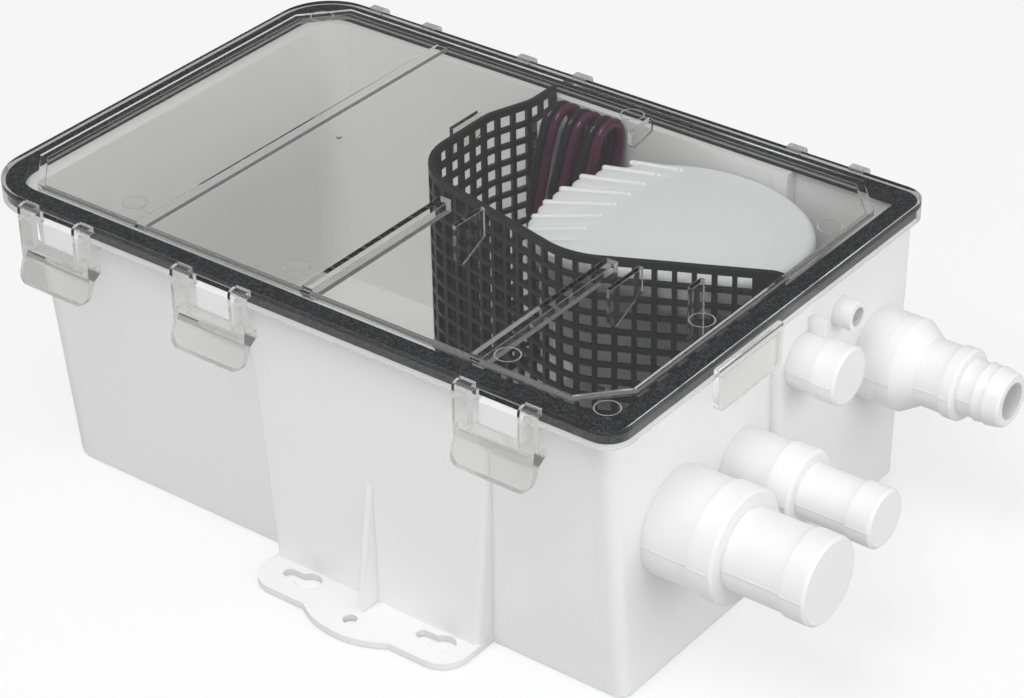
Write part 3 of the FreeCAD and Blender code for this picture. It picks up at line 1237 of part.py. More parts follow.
def make_cap(low):
    """Pale oval cover with a rounded shoulder and ridges on its left edge."""
    cover = oval("cap_prism", "cap_x", "cap_y", "cap_half_length", "cap_half_width", low, "cap_height")
    document.recompute()
    top = cover.Shape.BoundBox.ZMax
    rim = [edge for edge in cover.Shape.Edges if edge.BoundBox.ZMin > top - 0.01]
    dome = cover.Shape.makeFillet(size("cap_round"), rim)
    centre = Vector(size("cap_x"), size("cap_y"), 0)
    radius, length = size("cap_ridge"), size("cap_ridge_length")
    ridges = []
    for index in range(7):
        across = (index - 3) * size("cap_ridge_pitch") - 2
        inward = size("cap_half_length") * math.sqrt(1 - (across / size("cap_half_width")) ** 2)
        angle = math.radians(size("cap_ridge_turn") - 2.4 * index)
        heading = Vector(math.cos(angle), math.sin(angle), 0)
        start = centre + Vector(-inward, across, top - radius * 0.6) + heading * (radius * 0.4)
        ridges.append(capsule(radius, length, start, heading))
        ridges.append(Part.makeCylinder(radius * 0.9, size("cap_height") * 0.7,
                                        start - Vector(0, 0, size("cap_height") * 0.7)))
    mark = Part.makeCylinder(2.2, 1, centre + Vector(-38, -7, top - 0.3))
    cap = document.addObject("Part::Feature", "cap_body")
    cap.Shape = dome.fuse(ridges).cut(mark)
    node("pump_cap", cap)


# Rubber elbow, clamps and lead


def make_discharge():
    """Rubber elbow from the volute's nozzle to the outlet stub, with its clamps."""
    deck_base = size("floor_thickness") + size("strainer_gap") + size("strainer_height")
    bend_top = deck_base + size("volute_height") / 2 + size("nozzle_bend")
    start = Vector(size("nozzle_x"), size("outlet_y"), bend_top + 0.5)
    run = size("outlet_z") - size("hose_bend") - start.z
    inner_end = size("bay_end") - size("wall")
    rise = inner_end - 0.3 - size("nozzle_x") - size("hose_bend")
    outer = size("nozzle_radius") + size("hose_wall")
    tube = bent_tube(start, Vector(0, 0, 1), run, size("hose_bend"), rise, outer)
    bore = bent_tube(start - Vector(0, 0, 1), Vector(0, 0, 1), run + 1, size("hose_bend"), rise + 1,
                     size("nozzle_radius") + 0.02)
    elbow = document.addObject("Part::Feature", "elbow_body")
    elbow.Shape = tube.cut(bore)
    node("rubber_elbow", elbow)
    hug = "(nozzle_radius + hose_wall + 0.05)"
    lower = f"{start.z + 0.8}"
    far = f"({BAY_INNER} - clamp_width - 1)"
    for name, spot in (("lower_clamp", ("nozzle_x", "outlet_y", lower, "Z")),
                       ("upper_clamp", (far, "outlet_y", "outlet_z", "X"))):
        x, y, z, along = spot
        band = rod(f"{name}_band", f"{hug} + clamp_thickness", "clamp_width", x, y, z, along)
        hole = rod(f"{name}_hole", hug, "clamp_width + 2",
                   f"{x} - 1" if along == "X" else x, y, f"{z} - 1" if along == "Z" else z, along)
        if along == "Z":
            housing = box(f"{name}_screw", f"{x} - {hug} - 3.2", f"{y} - 2", z, "3.2", "4", "clamp_width")
        else:
            housing = box(f"{name}_screw", x, f"{y} - 2", f"{z} + {hug}", "clamp_width", "4", "3.2")
        node(name, cut(f"{name}_body", fuse(f"{name}_form", band, housing), hole))


def racetrack(straight, radius):
    """Flat face of two half circles and two straight sides, along X about the origin."""
    right = Part.Arc(Vector(straight, -radius, 0), Vector(straight + radius, 0, 0),
                     Vector(straight, radius, 0)).toShape()
    left = Part.Arc(Vector(-straight, radius, 0), Vector(-straight - radius, 0, 0),
                    Vector(-straight, -radius, 0)).toShape()
    top = Part.makeLine(Vector(straight, radius, 0), Vector(-straight, radius, 0))
    bottom = Part.makeLine(Vector(-straight, -radius, 0), Vector(straight, -radius, 0))
    return Part.Face(Part.Wire([right, top, left, bottom]))


def make_lead():
    """Gland in the motor housing, the lead's free stretch and its upright coil."""
    inside = "(housing_x - housing_half_length * 0.7)"
    start = "(housing_x - housing_half_length * 0.8)"
    boot = turned("gland_boot", [("gland_end", "0"), (inside, "0"), (inside, "gland_radius"),
                                 (start, "gland_radius"), ("gland_end", "gland_tip")],
                  "gland_y", "gland_z")
    wire, bend = size("wire_radius"), size("lead_bend")
    lean = Rotation(Vector(1, 0, 0), -size("coil_lean"))
    upright = lean * Rotation(Vector(0, 1, 0), 90)
    pair = racetrack(wire, wire)
    tip = Vector(size("gland_end"), size("gland_y"), size("gland_z"))
    entry = pair.copy()
    entry.Placement = Placement(tip, upright)
    bore = feature("gland_bore", entry.extrude(Vector(size("housing_half_length"), 0, 0)))
    node("lead_gland", cut("gland_body", boot, bore))

    centre = Vector(size("coil_start"), size("coil_y"), size("coil_z"))
    straight = size("coil_half_height") - size("coil_half_width")
    level = entry.extrude(Vector(size("coil_start") + 2 * wire + bend - tip.x, 0, 0))
    corner = Vector(size("coil_start") + 2 * wire + bend, tip.y, tip.z)
    entry.Placement = Placement(corner, upright)
    bent = entry.revolve(corner + lean.multVec(Vector(0, 0, bend)), lean.multVec(Vector(0, 1, 0)), 90)
    rising = pair.copy()
    rising.Placement = Placement(corner + lean.multVec(Vector(-bend, 0, bend)), lean)
    lowest = lean.inverted().multVec(tip - centre).z + bend
    rise = size("lead_overlap") - size("coil_half_height") - lowest
    outline = racetrack(straight, size("coil_half_width")).extrude(Vector(0, 0, size("coil_length")))
    outline.Placement = Placement(centre, upright)
    run = level.fuse([bent, rising.extrude(lean.multVec(Vector(0, 0, rise)))]).removeSplitter().cut(outline)
    node("lead_run", feature("lead_form", run))
    ring = racetrack(straight, size("coil_half_width"))
    hole = racetrack(straight, size("coil_half_width") - 2 * wire)
    winding = ring.cut(hole).extrude(Vector(0, 0, size("coil_length")))
    winding.Placement = Placement(centre, upright)
    node("lead_coil", feature("coil_body", winding))
    print("lead from", [round(v, 2) for v in tip], "rise", round(rise, 2), "coil middle",
          [round(v, 2) for v in centre])


make_tub()
make_lid()
make_gasket()
make_latches()
box_form("envelope", "wall + screen_gap", "floor_thickness + screen_gap", "rim_height")
document.recompute()
make_screen()
make_outlet()
make_strainer()
make_pump()
make_discharge()
make_lead()
document.recompute()

# Checks and STEP files

os.makedirs("parts", exist_ok=True)
broken = [thing.Name for thing in document.Objects if {"Invalid", "Error"} & set(thing.State)]
for name, thing in NODES.items():
    if thing.Shape.isNull() or not thing.Shape.isValid() or not thing.Shape.Solids:
        broken.append(name)
if broken:
    raise SystemExit(f"failed features: {broken}")
for name, thing in NODES.items():
    thing.Shape.exportStep(f"parts/{name}.step")
    span = thing.Shape.BoundBox
    print(f"{name:20s} solids {len(thing.Shape.Solids)} volume {thing.Shape.Volume / 1000:8.2f} cm3"
          f"  x {span.XMin:7.1f} {span.XMax:7.1f}  y {span.YMin:7.1f} {span.YMax:7.1f}"
          f"  z {span.ZMin:7.1f} {span.ZMax:7.1f}")
print("nodes", len(NODES))
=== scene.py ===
# %% [markdown]
# # A shower sump pump
# A white moulded tub collects waste water through hose barbs. A clear lid clips
# over it on a foam gasket. Inside, a bent perforated screen keeps hair away from
# a small pump with a float switch, which empties the tub through a check valve.
# The solids come from the CAD model. This lesson dresses them: real plastics and
# foam, the pump's coiled lead, and the small marks that moulding leaves.

# %% Load the model as a fixed frame
import math
import random

import bmesh
import bpy
from mathutils import Matrix, Vector


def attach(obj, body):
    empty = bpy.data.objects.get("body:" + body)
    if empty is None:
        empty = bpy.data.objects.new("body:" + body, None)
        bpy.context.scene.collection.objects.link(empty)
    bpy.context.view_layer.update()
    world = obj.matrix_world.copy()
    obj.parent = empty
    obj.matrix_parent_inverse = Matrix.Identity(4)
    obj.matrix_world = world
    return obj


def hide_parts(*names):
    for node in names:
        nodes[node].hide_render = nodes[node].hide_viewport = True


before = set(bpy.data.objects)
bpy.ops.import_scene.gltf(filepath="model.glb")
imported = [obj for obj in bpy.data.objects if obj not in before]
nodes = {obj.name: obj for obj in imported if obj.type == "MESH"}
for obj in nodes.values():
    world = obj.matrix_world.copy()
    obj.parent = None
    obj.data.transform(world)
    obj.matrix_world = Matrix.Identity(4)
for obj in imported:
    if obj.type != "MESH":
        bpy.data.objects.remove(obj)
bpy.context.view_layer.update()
MM = 0.001

# %% [markdown]
# ## The camera
# The photograph was taken with a long lens from above the front right corner.
# Place, aim and roll were solved from the lid's corners, so they are numbers
# here. A camera looks along its own -Z, so its Z axis points back at the lens.

# %% Camera at the photograph's place
FOCAL_PIXELS, PICTURE_WIDTH, SENSOR = 3108, 1024, 36
LENS = FOCAL_PIXELS * SENSOR / PICTURE_WIDTH
AZIMUTH, ELEVATION, ROLL = 38.13, 32.18, -1.15
CAMERA_PLACE = (0.5858762, -0.7135475, 0.6286970)
azimuth, elevation, roll = (math.radians(angle) for angle in (AZIMUTH, ELEVATION, ROLL))
towards_lens = Vector((math.sin(azimuth) * math.cos(elevation),
                       -math.cos(azimuth) * math.cos(elevation), math.sin(elevation)))
level = (-towards_lens).cross(Vector((0, 0, 1))).normalized()
above = level.cross(-towards_lens)
right = level * math.cos(roll) + above * math.sin(roll)
up = above * math.cos(roll) - level * math.sin(roll)
camera_data = bpy.data.cameras.new("camera")
camera_data.lens = LENS
camera_data.sensor_width = SENSOR
camera_data.clip_end = 20
camera = bpy.data.objects.new("camera", camera_data)
turned = Matrix((right, up, towards_lens)).transposed().to_4x4()
camera.matrix_world = Matrix.Translation(CAMERA_PLACE) @ turned
bpy.context.scene.collection.objects.link(camera)
bpy.context.scene.camera = camera
print("lens", round(LENS, 2), "mm")

# %% [markdown]
# ## Helpers
# Colours are written as sRGB hex, the way a picker shows them, and turned to the
# linear values that a shader adds and multiplies. One function adds a node, sets
# its sockets and links its inputs, so each material reads as a list of steps.

# %% Colour, node and object helpers
def linear(code):
    """sRGB hex to linear RGBA."""
    parts = [int(code[index:index + 2], 16) / 255 for index in (1, 3, 5)]
    return [p / 12.92 if p <= 0.04045 else ((p + 0.055) / 1.055) ** 2.4 for p in parts] + [1.0]


def add(material, kind, settings=None, inputs=None, links=None):
    """One node: settings are its properties, inputs its socket values, links its sources."""
    node = material.node_tree.nodes.new(kind)
    for name, value in (settings or {}).items():
        setattr(node, name, value)
    for name, value in (inputs or {}).items():
        node.inputs[name].default_value = value
    for name, source in (links or {}).items():
        material.node_tree.links.new(source, node.inputs[name])
    return node


def new_material(name):
    """An empty node material."""
    material = bpy.data.materials.new(name)
    material.use_nodes = True
    material.node_tree.nodes.clear()
    return material


def finish_material(material, surface):
    """Link a shader to the output."""
    add(material, "ShaderNodeOutputMaterial", links={"Surface": surface})
    return material


def dress(node_name, material):
    """Give a CAD node its finished material."""
    materials = nodes[node_name].data.materials
    materials.clear()
    materials.append(material)


def keep_piece(shape, name, material, body, smooth=True):
    """Make an object of a mesh or a bmesh, shade it, and let it ride a body."""
    mesh = shape
    if isinstance(shape, bmesh.types.BMesh):
        mesh = bpy.data.meshes.new(name)
        shape.to_mesh(mesh)
        shape.free()
    for polygon in mesh.polygons:
        polygon.use_smooth = smooth
    mesh.materials.append(material)
    piece = bpy.data.objects.new(name, mesh)
    bpy.context.scene.collection.objects.link(piece)
    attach(piece, body)
    return piece


print("red", [round(v, 3) for v in linear("#FF0000")])

# %% [markdown]
# ## Materials
# **Polypropylene, injection moulded in a polished tool.** The tub is glossy white
# with the faint waviness of a thick moulding that shrank as it cooled. Waves of
# about 35 mm bend the reflections, and a fine grain of half a millimetre breaks
# them up. The pump's other plastics are made the same way, with smaller waves.

# %% Moulded plastics
def moulded_plastic(name, colour, roughness, wave, wave_mm, grain, grain_mm, tint=None, edge=0.4):
    """Moulded plastic: soft edges, slow waves and a fine grain in the gloss."""
    material = new_material(name)
    place = add(material, "ShaderNodeTexCoord").outputs["Object"]
    waves = add(material, "ShaderNodeTexNoise", inputs={"Scale": 1000 / wave_mm, "Detail": 1.0},
                links={"Vector": place})
    fine = add(material, "ShaderNodeTexNoise", inputs={"Scale": 1000 / grain_mm, "Detail": 2.0},
               links={"Vector": place})
    soft_edges = add(material, "ShaderNodeBevel", {"samples": 4}, inputs={"Radius": edge * MM})
    slow_bump = add(material, "ShaderNodeBump", inputs={"Strength": 1.0, "Distance": wave * MM},
                    links={"Height": waves.outputs["Fac"], "Normal": soft_edges.outputs["Normal"]})
    bump = add(material, "ShaderNodeBump", inputs={"Strength": 1.0, "Distance": grain * MM},
               links={"Height": fine.outputs["Fac"], "Normal": slow_bump.outputs["Normal"]})
    rough = add(material, "ShaderNodeMapRange",
                inputs={"From Min": 0.1, "From Max": 0.9,
                        "To Min": roughness * 0.85, "To Max": roughness * 1.15},
                links={"Value": waves.outputs["Fac"]})
    blotch = add(material, "ShaderNodeTexNoise", inputs={"Scale": 18.0, "Detail": 3.0},
                 links={"Vector": place})
    mix = add(material, "ShaderNodeMix", {"data_type": "RGBA"},
              links={"Factor": blotch.outputs["Fac"]})
    mix.inputs["A"].default_value = linear(colour)
    mix.inputs["B"].default_value = linear(tint or colour)
    shader = add(material, "ShaderNodeBsdfPrincipled", inputs={"IOR": 1.49},
                 links={"Base Color": mix.outputs["Result"], "Roughness": rough.outputs["Result"],
                        "Normal": bump.outputs["Normal"]})
    return finish_material(material, shader.outputs["BSDF"])


# Polypropylene for the tub, polyethylene for the screen, nylon for the pump's
# housings, ABS for its cap, acetal for the impeller and foamed resin for the float.
white_plastic = moulded_plastic("white_polypropylene", "#F4F4F4", 0.30, 0.015, 35, 0.003, 0.5,
                                "#F0F0F0")
screen_plastic = moulded_plastic("black_polyethylene", "#141415", 0.42, 0.03, 9, 0.012, 0.6,
                                 "#1B1B1D")
pump_plastic = moulded_plastic("grey_nylon", "#C9CBCC", 0.45, 0.03, 12, 0.012, 0.6, "#C2C4C5")
cap_plastic = moulded_plastic("pale_abs", "#F0F1F2", 0.34, 0.03, 16, 0.004, 0.5, "#EAEBEC", 0.25)
impeller_plastic = moulded_plastic("black_acetal", "#1A1A1C", 0.3, 0.02, 8, 0.004, 0.5)
float_plastic = moulded_plastic("amber_foam", "#C08A2C", 0.7, 0.05, 3, 0.03, 0.7, "#B47E22")
print("moulded plastics ready")

# %% [markdown]
# **Clear styrene-acrylonitrile.** The lid and its latches are glass-clear with a
# slight grey cast. A real light path through it is refracted twice, which a
# renderer finds hard for shadows. So the material is a lightly tinted filter for
# shadow rays and scattered rays, and the light reaches the inside as it does in
# the real box. A seen ray is refracted through the first few layers and goes
# straight on behind them. One that was mirrored inside the plastic goes straight
# on too, so the thin ribs don't fill up with reflections of reflections.

# %% Clear lid plastic
def clear_plastic(name, colour, roughness, shade, layers):
    """Clear plastic: it refracts seen rays to a number of layers deep, and filters the rest."""
    material = new_material(name)
    place = add(material, "ShaderNodeTexCoord").outputs["Object"]
    waves = add(material, "ShaderNodeTexNoise", inputs={"Scale": 45.0, "Detail": 2.0},
                links={"Vector": place})
    soft_edges = add(material, "ShaderNodeBevel", {"samples": 4}, inputs={"Radius": 0.5 * MM})
    bump = add(material, "ShaderNodeBump", inputs={"Strength": 1.0, "Distance": 0.03 * MM},
               links={"Height": waves.outputs["Fac"], "Normal": soft_edges.outputs["Normal"]})
    body = add(material, "ShaderNodeBsdfPrincipled",
               inputs={"Base Color": linear(colour), "Roughness": roughness, "IOR": 1.5,
                       "Transmission Weight": 1.0}, links={"Normal": bump.outputs["Normal"]})
    filtered = add(material, "ShaderNodeBsdfTransparent", inputs={"Color": linear(shade)})
    ray = add(material, "ShaderNodeLightPath")
    deep = add(material, "ShaderNodeMath", {"operation": "GREATER_THAN"}, inputs={1: layers},
               links={0: ray.outputs["Ray Depth"]})
    lighting = add(material, "ShaderNodeMath", {"operation": "MAXIMUM"},
                   links={0: ray.outputs["Is Shadow Ray"], 1: ray.outputs["Is Diffuse Ray"]})
    mirrored = add(material, "ShaderNodeMath", {"operation": "GREATER_THAN"}, inputs={1: 0.5},
                   links={0: ray.outputs["Glossy Depth"]})
    straight = add(material, "ShaderNodeMath", {"operation": "MAXIMUM"},
                   links={0: mirrored.outputs["Value"], 1: deep.outputs["Value"]})
    soft = add(material, "ShaderNodeMath", {"operation": "MAXIMUM"},
               links={0: lighting.outputs["Value"], 1: straight.outputs["Value"]})
    both = add(material, "ShaderNodeMixShader",
               links={"Fac": soft.outputs["Value"], 1: body.outputs["BSDF"],
                      2: filtered.outputs["BSDF"]})
    return finish_material(material, both.outputs["Shader"])


lid_plastic = clear_plastic("clear_styrene", "#F6F6F5", 0.02, "#FBFBFB", 4.5)
latch_plastic = clear_plastic("clear_latch_styrene", "#F6F6F5", 0.06, "#FBFBFB", 2.5)
print("clear plastic ready")

# %% [markdown]
# **Closed-cell neoprene foam.** The gasket is a die-cut ring of black foam. Its
# skin shows burst cells of about half a millimetre as pale specks, and a cut
# edge that is rougher than any moulded rubber.

# %% Foam, rubber, steel and bronze
def cell_foam(name, colour, speck, cell_mm):
    """Foam: cells that dent the surface and catch the light at their rims."""
    material = new_material(name)
    place = add(material, "ShaderNodeTexCoord").outputs["Object"]
    cells = add(material, "ShaderNodeTexVoronoi", {"feature": "F1"},
                inputs={"Scale": 1000 / cell_mm, "Randomness": 1.0}, links={"Vector": place})
    bump = add(material, "ShaderNodeBump", inputs={"Strength": 1.0, "Distance": 0.25 * MM},
               links={"Height": cells.outputs["Distance"]})
    lumps = add(material, "ShaderNodeTexNoise", inputs={"Scale": 1300.0, "Detail": 3.0},
                links={"Vector": place})
    specks = add(material, "ShaderNodeMapRange",
                 inputs={"From Min": 0.44, "From Max": 0.66, "To Min": 0.0, "To Max": 1.0},
                 links={"Value": lumps.outputs["Fac"]})
    mix = add(material, "ShaderNodeMix", {"data_type": "RGBA"},
              links={"Factor": specks.outputs["Result"]})
    mix.inputs["A"].default_value = linear(colour)
    mix.inputs["B"].default_value = linear(speck)
    shader = add(material, "ShaderNodeBsdfPrincipled", inputs={"Roughness": 0.85, "IOR": 1.5},
                 links={"Base Color": mix.outputs["Result"], "Normal": bump.outputs["Normal"]})
    return finish_material(material, shader.outputs["BSDF"])


def brushed_metal(name, colour, roughness, stretch=(1, 1, 30)):
    """Machined metal: fine marks in the gloss, drawn one way where stretch isn't even."""
    material = new_material(name)
    place = add(material, "ShaderNodeTexCoord").outputs["Object"]
    lines = add(material, "ShaderNodeMapping", inputs={"Scale": stretch}, links={"Vector": place})
    noise = add(material, "ShaderNodeTexNoise", inputs={"Scale": 300.0, "Detail": 4.0},
                links={"Vector": lines.outputs["Vector"]})
    rough = add(material, "ShaderNodeMapRange",
                inputs={"From Min": 0.3, "From Max": 0.7,
                        "To Min": roughness * 0.7, "To Max": roughness * 1.3},
                links={"Value": noise.outputs["Fac"]})
    bump = add(material, "ShaderNodeBump", inputs={"Strength": 1.0, "Distance": 0.005 * MM},
               links={"Height": noise.outputs["Fac"]})
    shader = add(material, "ShaderNodeBsdfPrincipled",
                 inputs={"Base Color": linear(colour), "Metallic": 1.0},
                 links={"Roughness": rough.outputs["Result"], "Normal": bump.outputs["Normal"]})
    return finish_material(material, shader.outputs["BSDF"])


gasket_foam = cell_foam("black_neoprene_foam", "#17181A", "#47484B", 0.45)
rubber = moulded_plastic("black_rubber", "#17171A", 0.5, 0.02, 6, 0.02, 0.8, "#1F1F22")
steel = brushed_metal("stainless_steel", "#C4C6C8", 0.28)
bronze = brushed_metal("sintered_bronze", "#A98352", 0.45, (1, 1, 1))
print("foam, rubber and metals ready")

# %% [markdown]
# **PVC insulation.** Each wire of the lead has a glossy soft sleeve. It is made
# like the moulded plastics, but shinier and without a grain.

# %% Wire insulation
black_pvc = moulded_plastic("black_pvc", "#161518", 0.2, 0.05, 5, 0.001, 0.5, "#1D1B20")
red_pvc = moulded_plastic("dark_red_pvc", "#531A38", 0.2, 0.05, 5, 0.001, 0.5, "#451530")
print("wires ready")

# %% [markdown]
# ## The pump's lead
# The lead is two wires side by side. From the gland on the pump it bends up and
# is wound into a loose coil that rests between the screen and the wall. A coil is
# only more points of the same line, so one smooth NURBS spline carries the whole
# lead, and each wire is a tube beside that line.

# %% Route of the lead
GLAND = Vector((7.0, 54.69, 66.0))
COIL = Vector((0.0, 68.68, 93.21))
LEAN = Matrix.Rotation(math.radians(-14), 3, "X")
WIRE = 3.6
RUN_OUT = Vector((-1.8, 0, 0))
BEND, STRAIGHT, NOSE = 11.0, 10.4, 7.0
FIRST_X, PITCH, TURNS, PER_TURN = -7.7, 9.5, 2.75, 24
rise, across = LEAN @ Vector((0, 0, 1)), LEAN @ Vector((0, 1, 0))
route = [GLAND, GLAND + RUN_OUT]
turn_start = Vector((FIRST_X + BEND, GLAND.y, GLAND.z))
for degrees in (0, 22, 45, 68, 90):
    angle = math.radians(degrees)
    route.append(turn_start + rise * BEND * (1 - math.cos(angle))
                 - Vector((BEND * math.sin(angle), 0, 0)))


def loop_place(part):
    """Place on the coil's upright loop, part turns after the foot of its front side."""
    side, nose = 2 * STRAIGHT, math.pi * NOSE
    along = (part % 1) * 2 * (side + nose)
    if along < side:
        return -NOSE, along - STRAIGHT
    if along < side + nose:
        angle = (along - side) / NOSE
        return -NOSE * math.cos(angle), STRAIGHT + NOSE * math.sin(angle)
    if along < 2 * side + nose:
        return NOSE, STRAIGHT - (along - side - nose)
    angle = (along - 2 * side - nose) / NOSE
    return NOSE * math.cos(angle), -STRAIGHT - NOSE * math.sin(angle)


# The loops swell and sway a little, as a wire does that was wound by hand. SWELL is a
# share of the loop's size, and the other three are millimetres. The winding moves
# along the coil from DRIFT_FROM turns on, for DRIFT_TURNS turns.
SWELL, SWAY, SHAKE, SHIFT = 0.012, 0.45, 0.05, 0.3
DRIFT_FROM, DRIFT_TURNS = 0.12, 2.25
wobble = random.Random(4)
for index in range(int(TURNS * PER_TURN) + 1):
    turn = index / PER_TURN
    sideways, height = loop_place(turn)
    swell = 1 + SWELL * math.sin(2.3 * turn + 0.6)
    drift = (FIRST_X + PITCH * min(max(turn - DRIFT_FROM, 0), DRIFT_TURNS)
             + SWAY * math.sin(2 * math.pi * turn + 1.0))
    shake = Vector([wobble.uniform(-SHAKE, SHAKE) for _ in range(3)])
    route.append(Vector((drift + SHIFT, COIL.y, COIL.z)) + across * sideways * swell
                 + rise * height * swell + shake)
print("route points", len(route))


# %% Spline through the route
def smooth_line(name, points):
    """One NURBS spline with these control points, in millimetres."""
    curve = bpy.data.curves.new(name, "CURVE")
    curve.dimensions = "3D"
    curve.resolution_u = 4
    spline = curve.splines.new("NURBS")
    spline.points.add(len(points) - 1)
    for target, point in zip(spline.points, points):
        target.co = (point.x * MM, point.y * MM, point.z * MM, 1)
    spline.order_u = 3
    spline.use_endpoint_u = True
    return curve


def read_line(curve):
    """The points of a curve with no bevel."""
    carrier = bpy.data.objects.new("carrier", curve)
    mesh = bpy.data.meshes.new_from_object(carrier)
    points = [vertex.co.copy() for vertex in mesh.vertices]
    bpy.data.objects.remove(carrier)
    bpy.data.meshes.remove(mesh)
    return points


lead_line = read_line(smooth_line("lead_line", route))


# %% Two wires beside the line
COIL_AXIS = Vector((1, 0, 0))
RUN_SHARE = 0.12


def side_directions(points):
    """A direction across the lead at each point: along the coil's axis, carried on to the gland."""
    last = len(points) - 1
    directions = []
    for index in range(last, -1, -1):
        tangent = (points[min(index + 1, last)] - points[max(index - 1, 0)]).normalized()
        wanted = COIL_AXIS if index > len(points) * RUN_SHARE else directions[-1]
        directions.append((wanted - tangent * wanted.dot(tangent)).normalized())
    return directions[::-1]


def wire_tube(name, points, radius):
    """Mesh tube round a line, with its ends closed."""
    curve = bpy.data.curves.new(name, "CURVE")
    curve.dimensions = "3D"
    spline = curve.splines.new("POLY")
    spline.points.add(len(points) - 1)
    for target, point in zip(spline.points, points):
        target.co = (*point, 1)
    curve.bevel_depth = radius
    curve.bevel_resolution = 5
    curve.use_fill_caps = True
    carrier = bpy.data.objects.new(name, curve)
    mesh = bpy.data.meshes.new_from_object(carrier)
    bpy.data.objects.remove(carrier)
    return mesh


sides = side_directions(lead_line)
offset = WIRE / 2 * MM
lead = bmesh.new()
for index, direction in enumerate((-1, 1)):
    beside = [point + side * offset * direction for point, side in zip(lead_line, sides)]
    tube = wire_tube("wire", beside, offset)
    for polygon in tube.polygons:
        polygon.material_index = index
    lead.from_mesh(tube)
lead_mesh = bpy.data.meshes.new("pump_lead")
lead.to_mesh(lead_mesh)
lead.free()
pump_lead = keep_piece(lead_mesh, "pump_lead", black_pvc, "tub")
lead_mesh.materials.append(red_pvc)
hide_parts("lead_run", "lead_coil")
print("lead faces", len(lead_mesh.polygons))

# %% [markdown]
# ## The pump's cap
# The pale cap is a low oval dome, moulded in ABS. Broad ribs fan out over its
# left edge. Each is a ball that is drawn out into a rod, pressed flat and sunk at
# its far end, so the edge becomes a row of scallops. Where two ribs meet, a thin crest
# runs inward and ends in a small bulb that catches the light. The dome itself is a
# circle, stretched, raised and given a round shoulder.

# %% Ribbed cap
CAP_MIDDLE, CAP_HALF, CAP_HEIGHT, CAP_ROUND = (70.2, 39.2), (46.4, 39.0), 12.0, 3.0
RIBS = [((32.7, 59.0), (53.2, 65.5)), ((25.6, 49.2), (50.2, 57.8)), ((23.2, 38.9), (49.2, 50.0)),
        ((23.0, 27.8), (49.2, 42.4)), ((24.6, 17.2), (49.8, 34.6)), ((27.6, 7.8), (50.6, 25.6)),
        ((32.2, 0.6), (52.7, 16.2)), ((40.8, -2.4), (57.2, 9.4))]
CRESTS = [((31.7, 62.5), (48.8, 68.0)), ((26.1, 54.0), (44.3, 60.5)), ((23.6, 44.2), (43.9, 52.4)),
          ((23.1, 33.2), (43.9, 43.7)), ((24.1, 22.4), (44.1, 35.0)), ((26.8, 12.4), (44.5, 25.9)),
          ((30.8, 4.6), (45.2, 15.8))]
CREST_RADIUS, CREST_BULB, CREST_SUNK = 1.15, 1.35, 0.35
RIB_RADIUS, RIB_FLAT, RIB_RISE, RIB_SINK, RIB_WALL = 5.6, 0.30, 0.45, 0.5, 8.0
NEAR = 0.01  # millimetres within which two heights are the same
cap_low = min(vertex.co.z for vertex in nodes["pump_cap"].data.vertices) / MM
cap_top = cap_low + CAP_HEIGHT
cap = bmesh.new()
bmesh.ops.create_circle(cap, cap_ends=True, segments=96, radius=1)
bmesh.ops.scale(cap, vec=(*CAP_HALF, 1), verts=cap.verts)
bmesh.ops.translate(cap, vec=(*CAP_MIDDLE, cap_low), verts=cap.verts)
raised = bmesh.ops.extrude_face_region(cap, geom=cap.faces[:])["geom"]
bmesh.ops.translate(cap, vec=(0, 0, CAP_HEIGHT),
                    verts=[item for item in raised if isinstance(item, bmesh.types.BMVert)])
shoulder = [edge for edge in cap.edges if min(v.co.z for v in edge.verts) > cap_top - NEAR]
bmesh.ops.bevel(cap, geom=shoulder, offset=CAP_ROUND, segments=6, profile=0.5, affect="EDGES",
                material=-1)


def drawn_ball(shape, radius, length, around, along):
    """A ball in a bmesh whose +X half is moved out by a length, so it becomes a rod."""
    ball = bmesh.ops.create_uvsphere(shape, u_segments=around, v_segments=along, radius=radius)["verts"]
    bmesh.ops.translate(shape, vec=(length, 0, 0), verts=[v for v in ball if v.co.x > NEAR])
    return ball


for nose, end in RIBS:
    run = Vector((end[0] - nose[0], end[1] - nose[1], 0))
    rib = drawn_ball(cap, RIB_RADIUS, run.length - 2 * RIB_RADIUS, 24, 14)
    bmesh.ops.scale(cap, vec=(1, 1, RIB_FLAT), verts=rib)
    bmesh.ops.translate(cap, vec=(0, 0, -RIB_WALL), verts=[v for v in rib if v.co.z < -NEAR])
    heading = Matrix.Rotation(math.atan2(run.y, run.x), 3, "Z")
    sinking = Matrix.Rotation(RIB_SINK / run.length, 3, "Y")
    bmesh.ops.rotate(cap, cent=(0, 0, 0), matrix=heading @ sinking, verts=rib)
    foot = Vector((*nose, cap_top + RIB_RISE - RIB_RADIUS * RIB_FLAT))
    bmesh.ops.translate(cap, vec=foot + run.normalized() * RIB_RADIUS, verts=rib)
for nose, end in CRESTS:
    run = Vector((end[0] - nose[0], end[1] - nose[1], 0))
    crest = drawn_ball(cap, CREST_RADIUS, run.length, 12, 8)
    bulb = bmesh.ops.create_uvsphere(cap, u_segments=12, v_segments=8, radius=CREST_BULB)["verts"]
    bmesh.ops.translate(cap, vec=(run.length, 0, 0), verts=bulb)
    heading = Matrix.Rotation(math.atan2(run.y, run.x), 3, "Z")
    bmesh.ops.rotate(cap, cent=(0, 0, 0), matrix=heading, verts=crest + bulb)
    bmesh.ops.translate(cap, vec=(*nose, cap_top - CREST_SUNK), verts=crest + bulb)
bmesh.ops.scale(cap, vec=(MM, MM, MM), verts=cap.verts)
bmesh.ops.recalc_face_normals(cap, faces=cap.faces)
ribbed_cap = keep_piece(cap, "ribbed_cap", cap_plastic, "tub")
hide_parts("pump_cap")
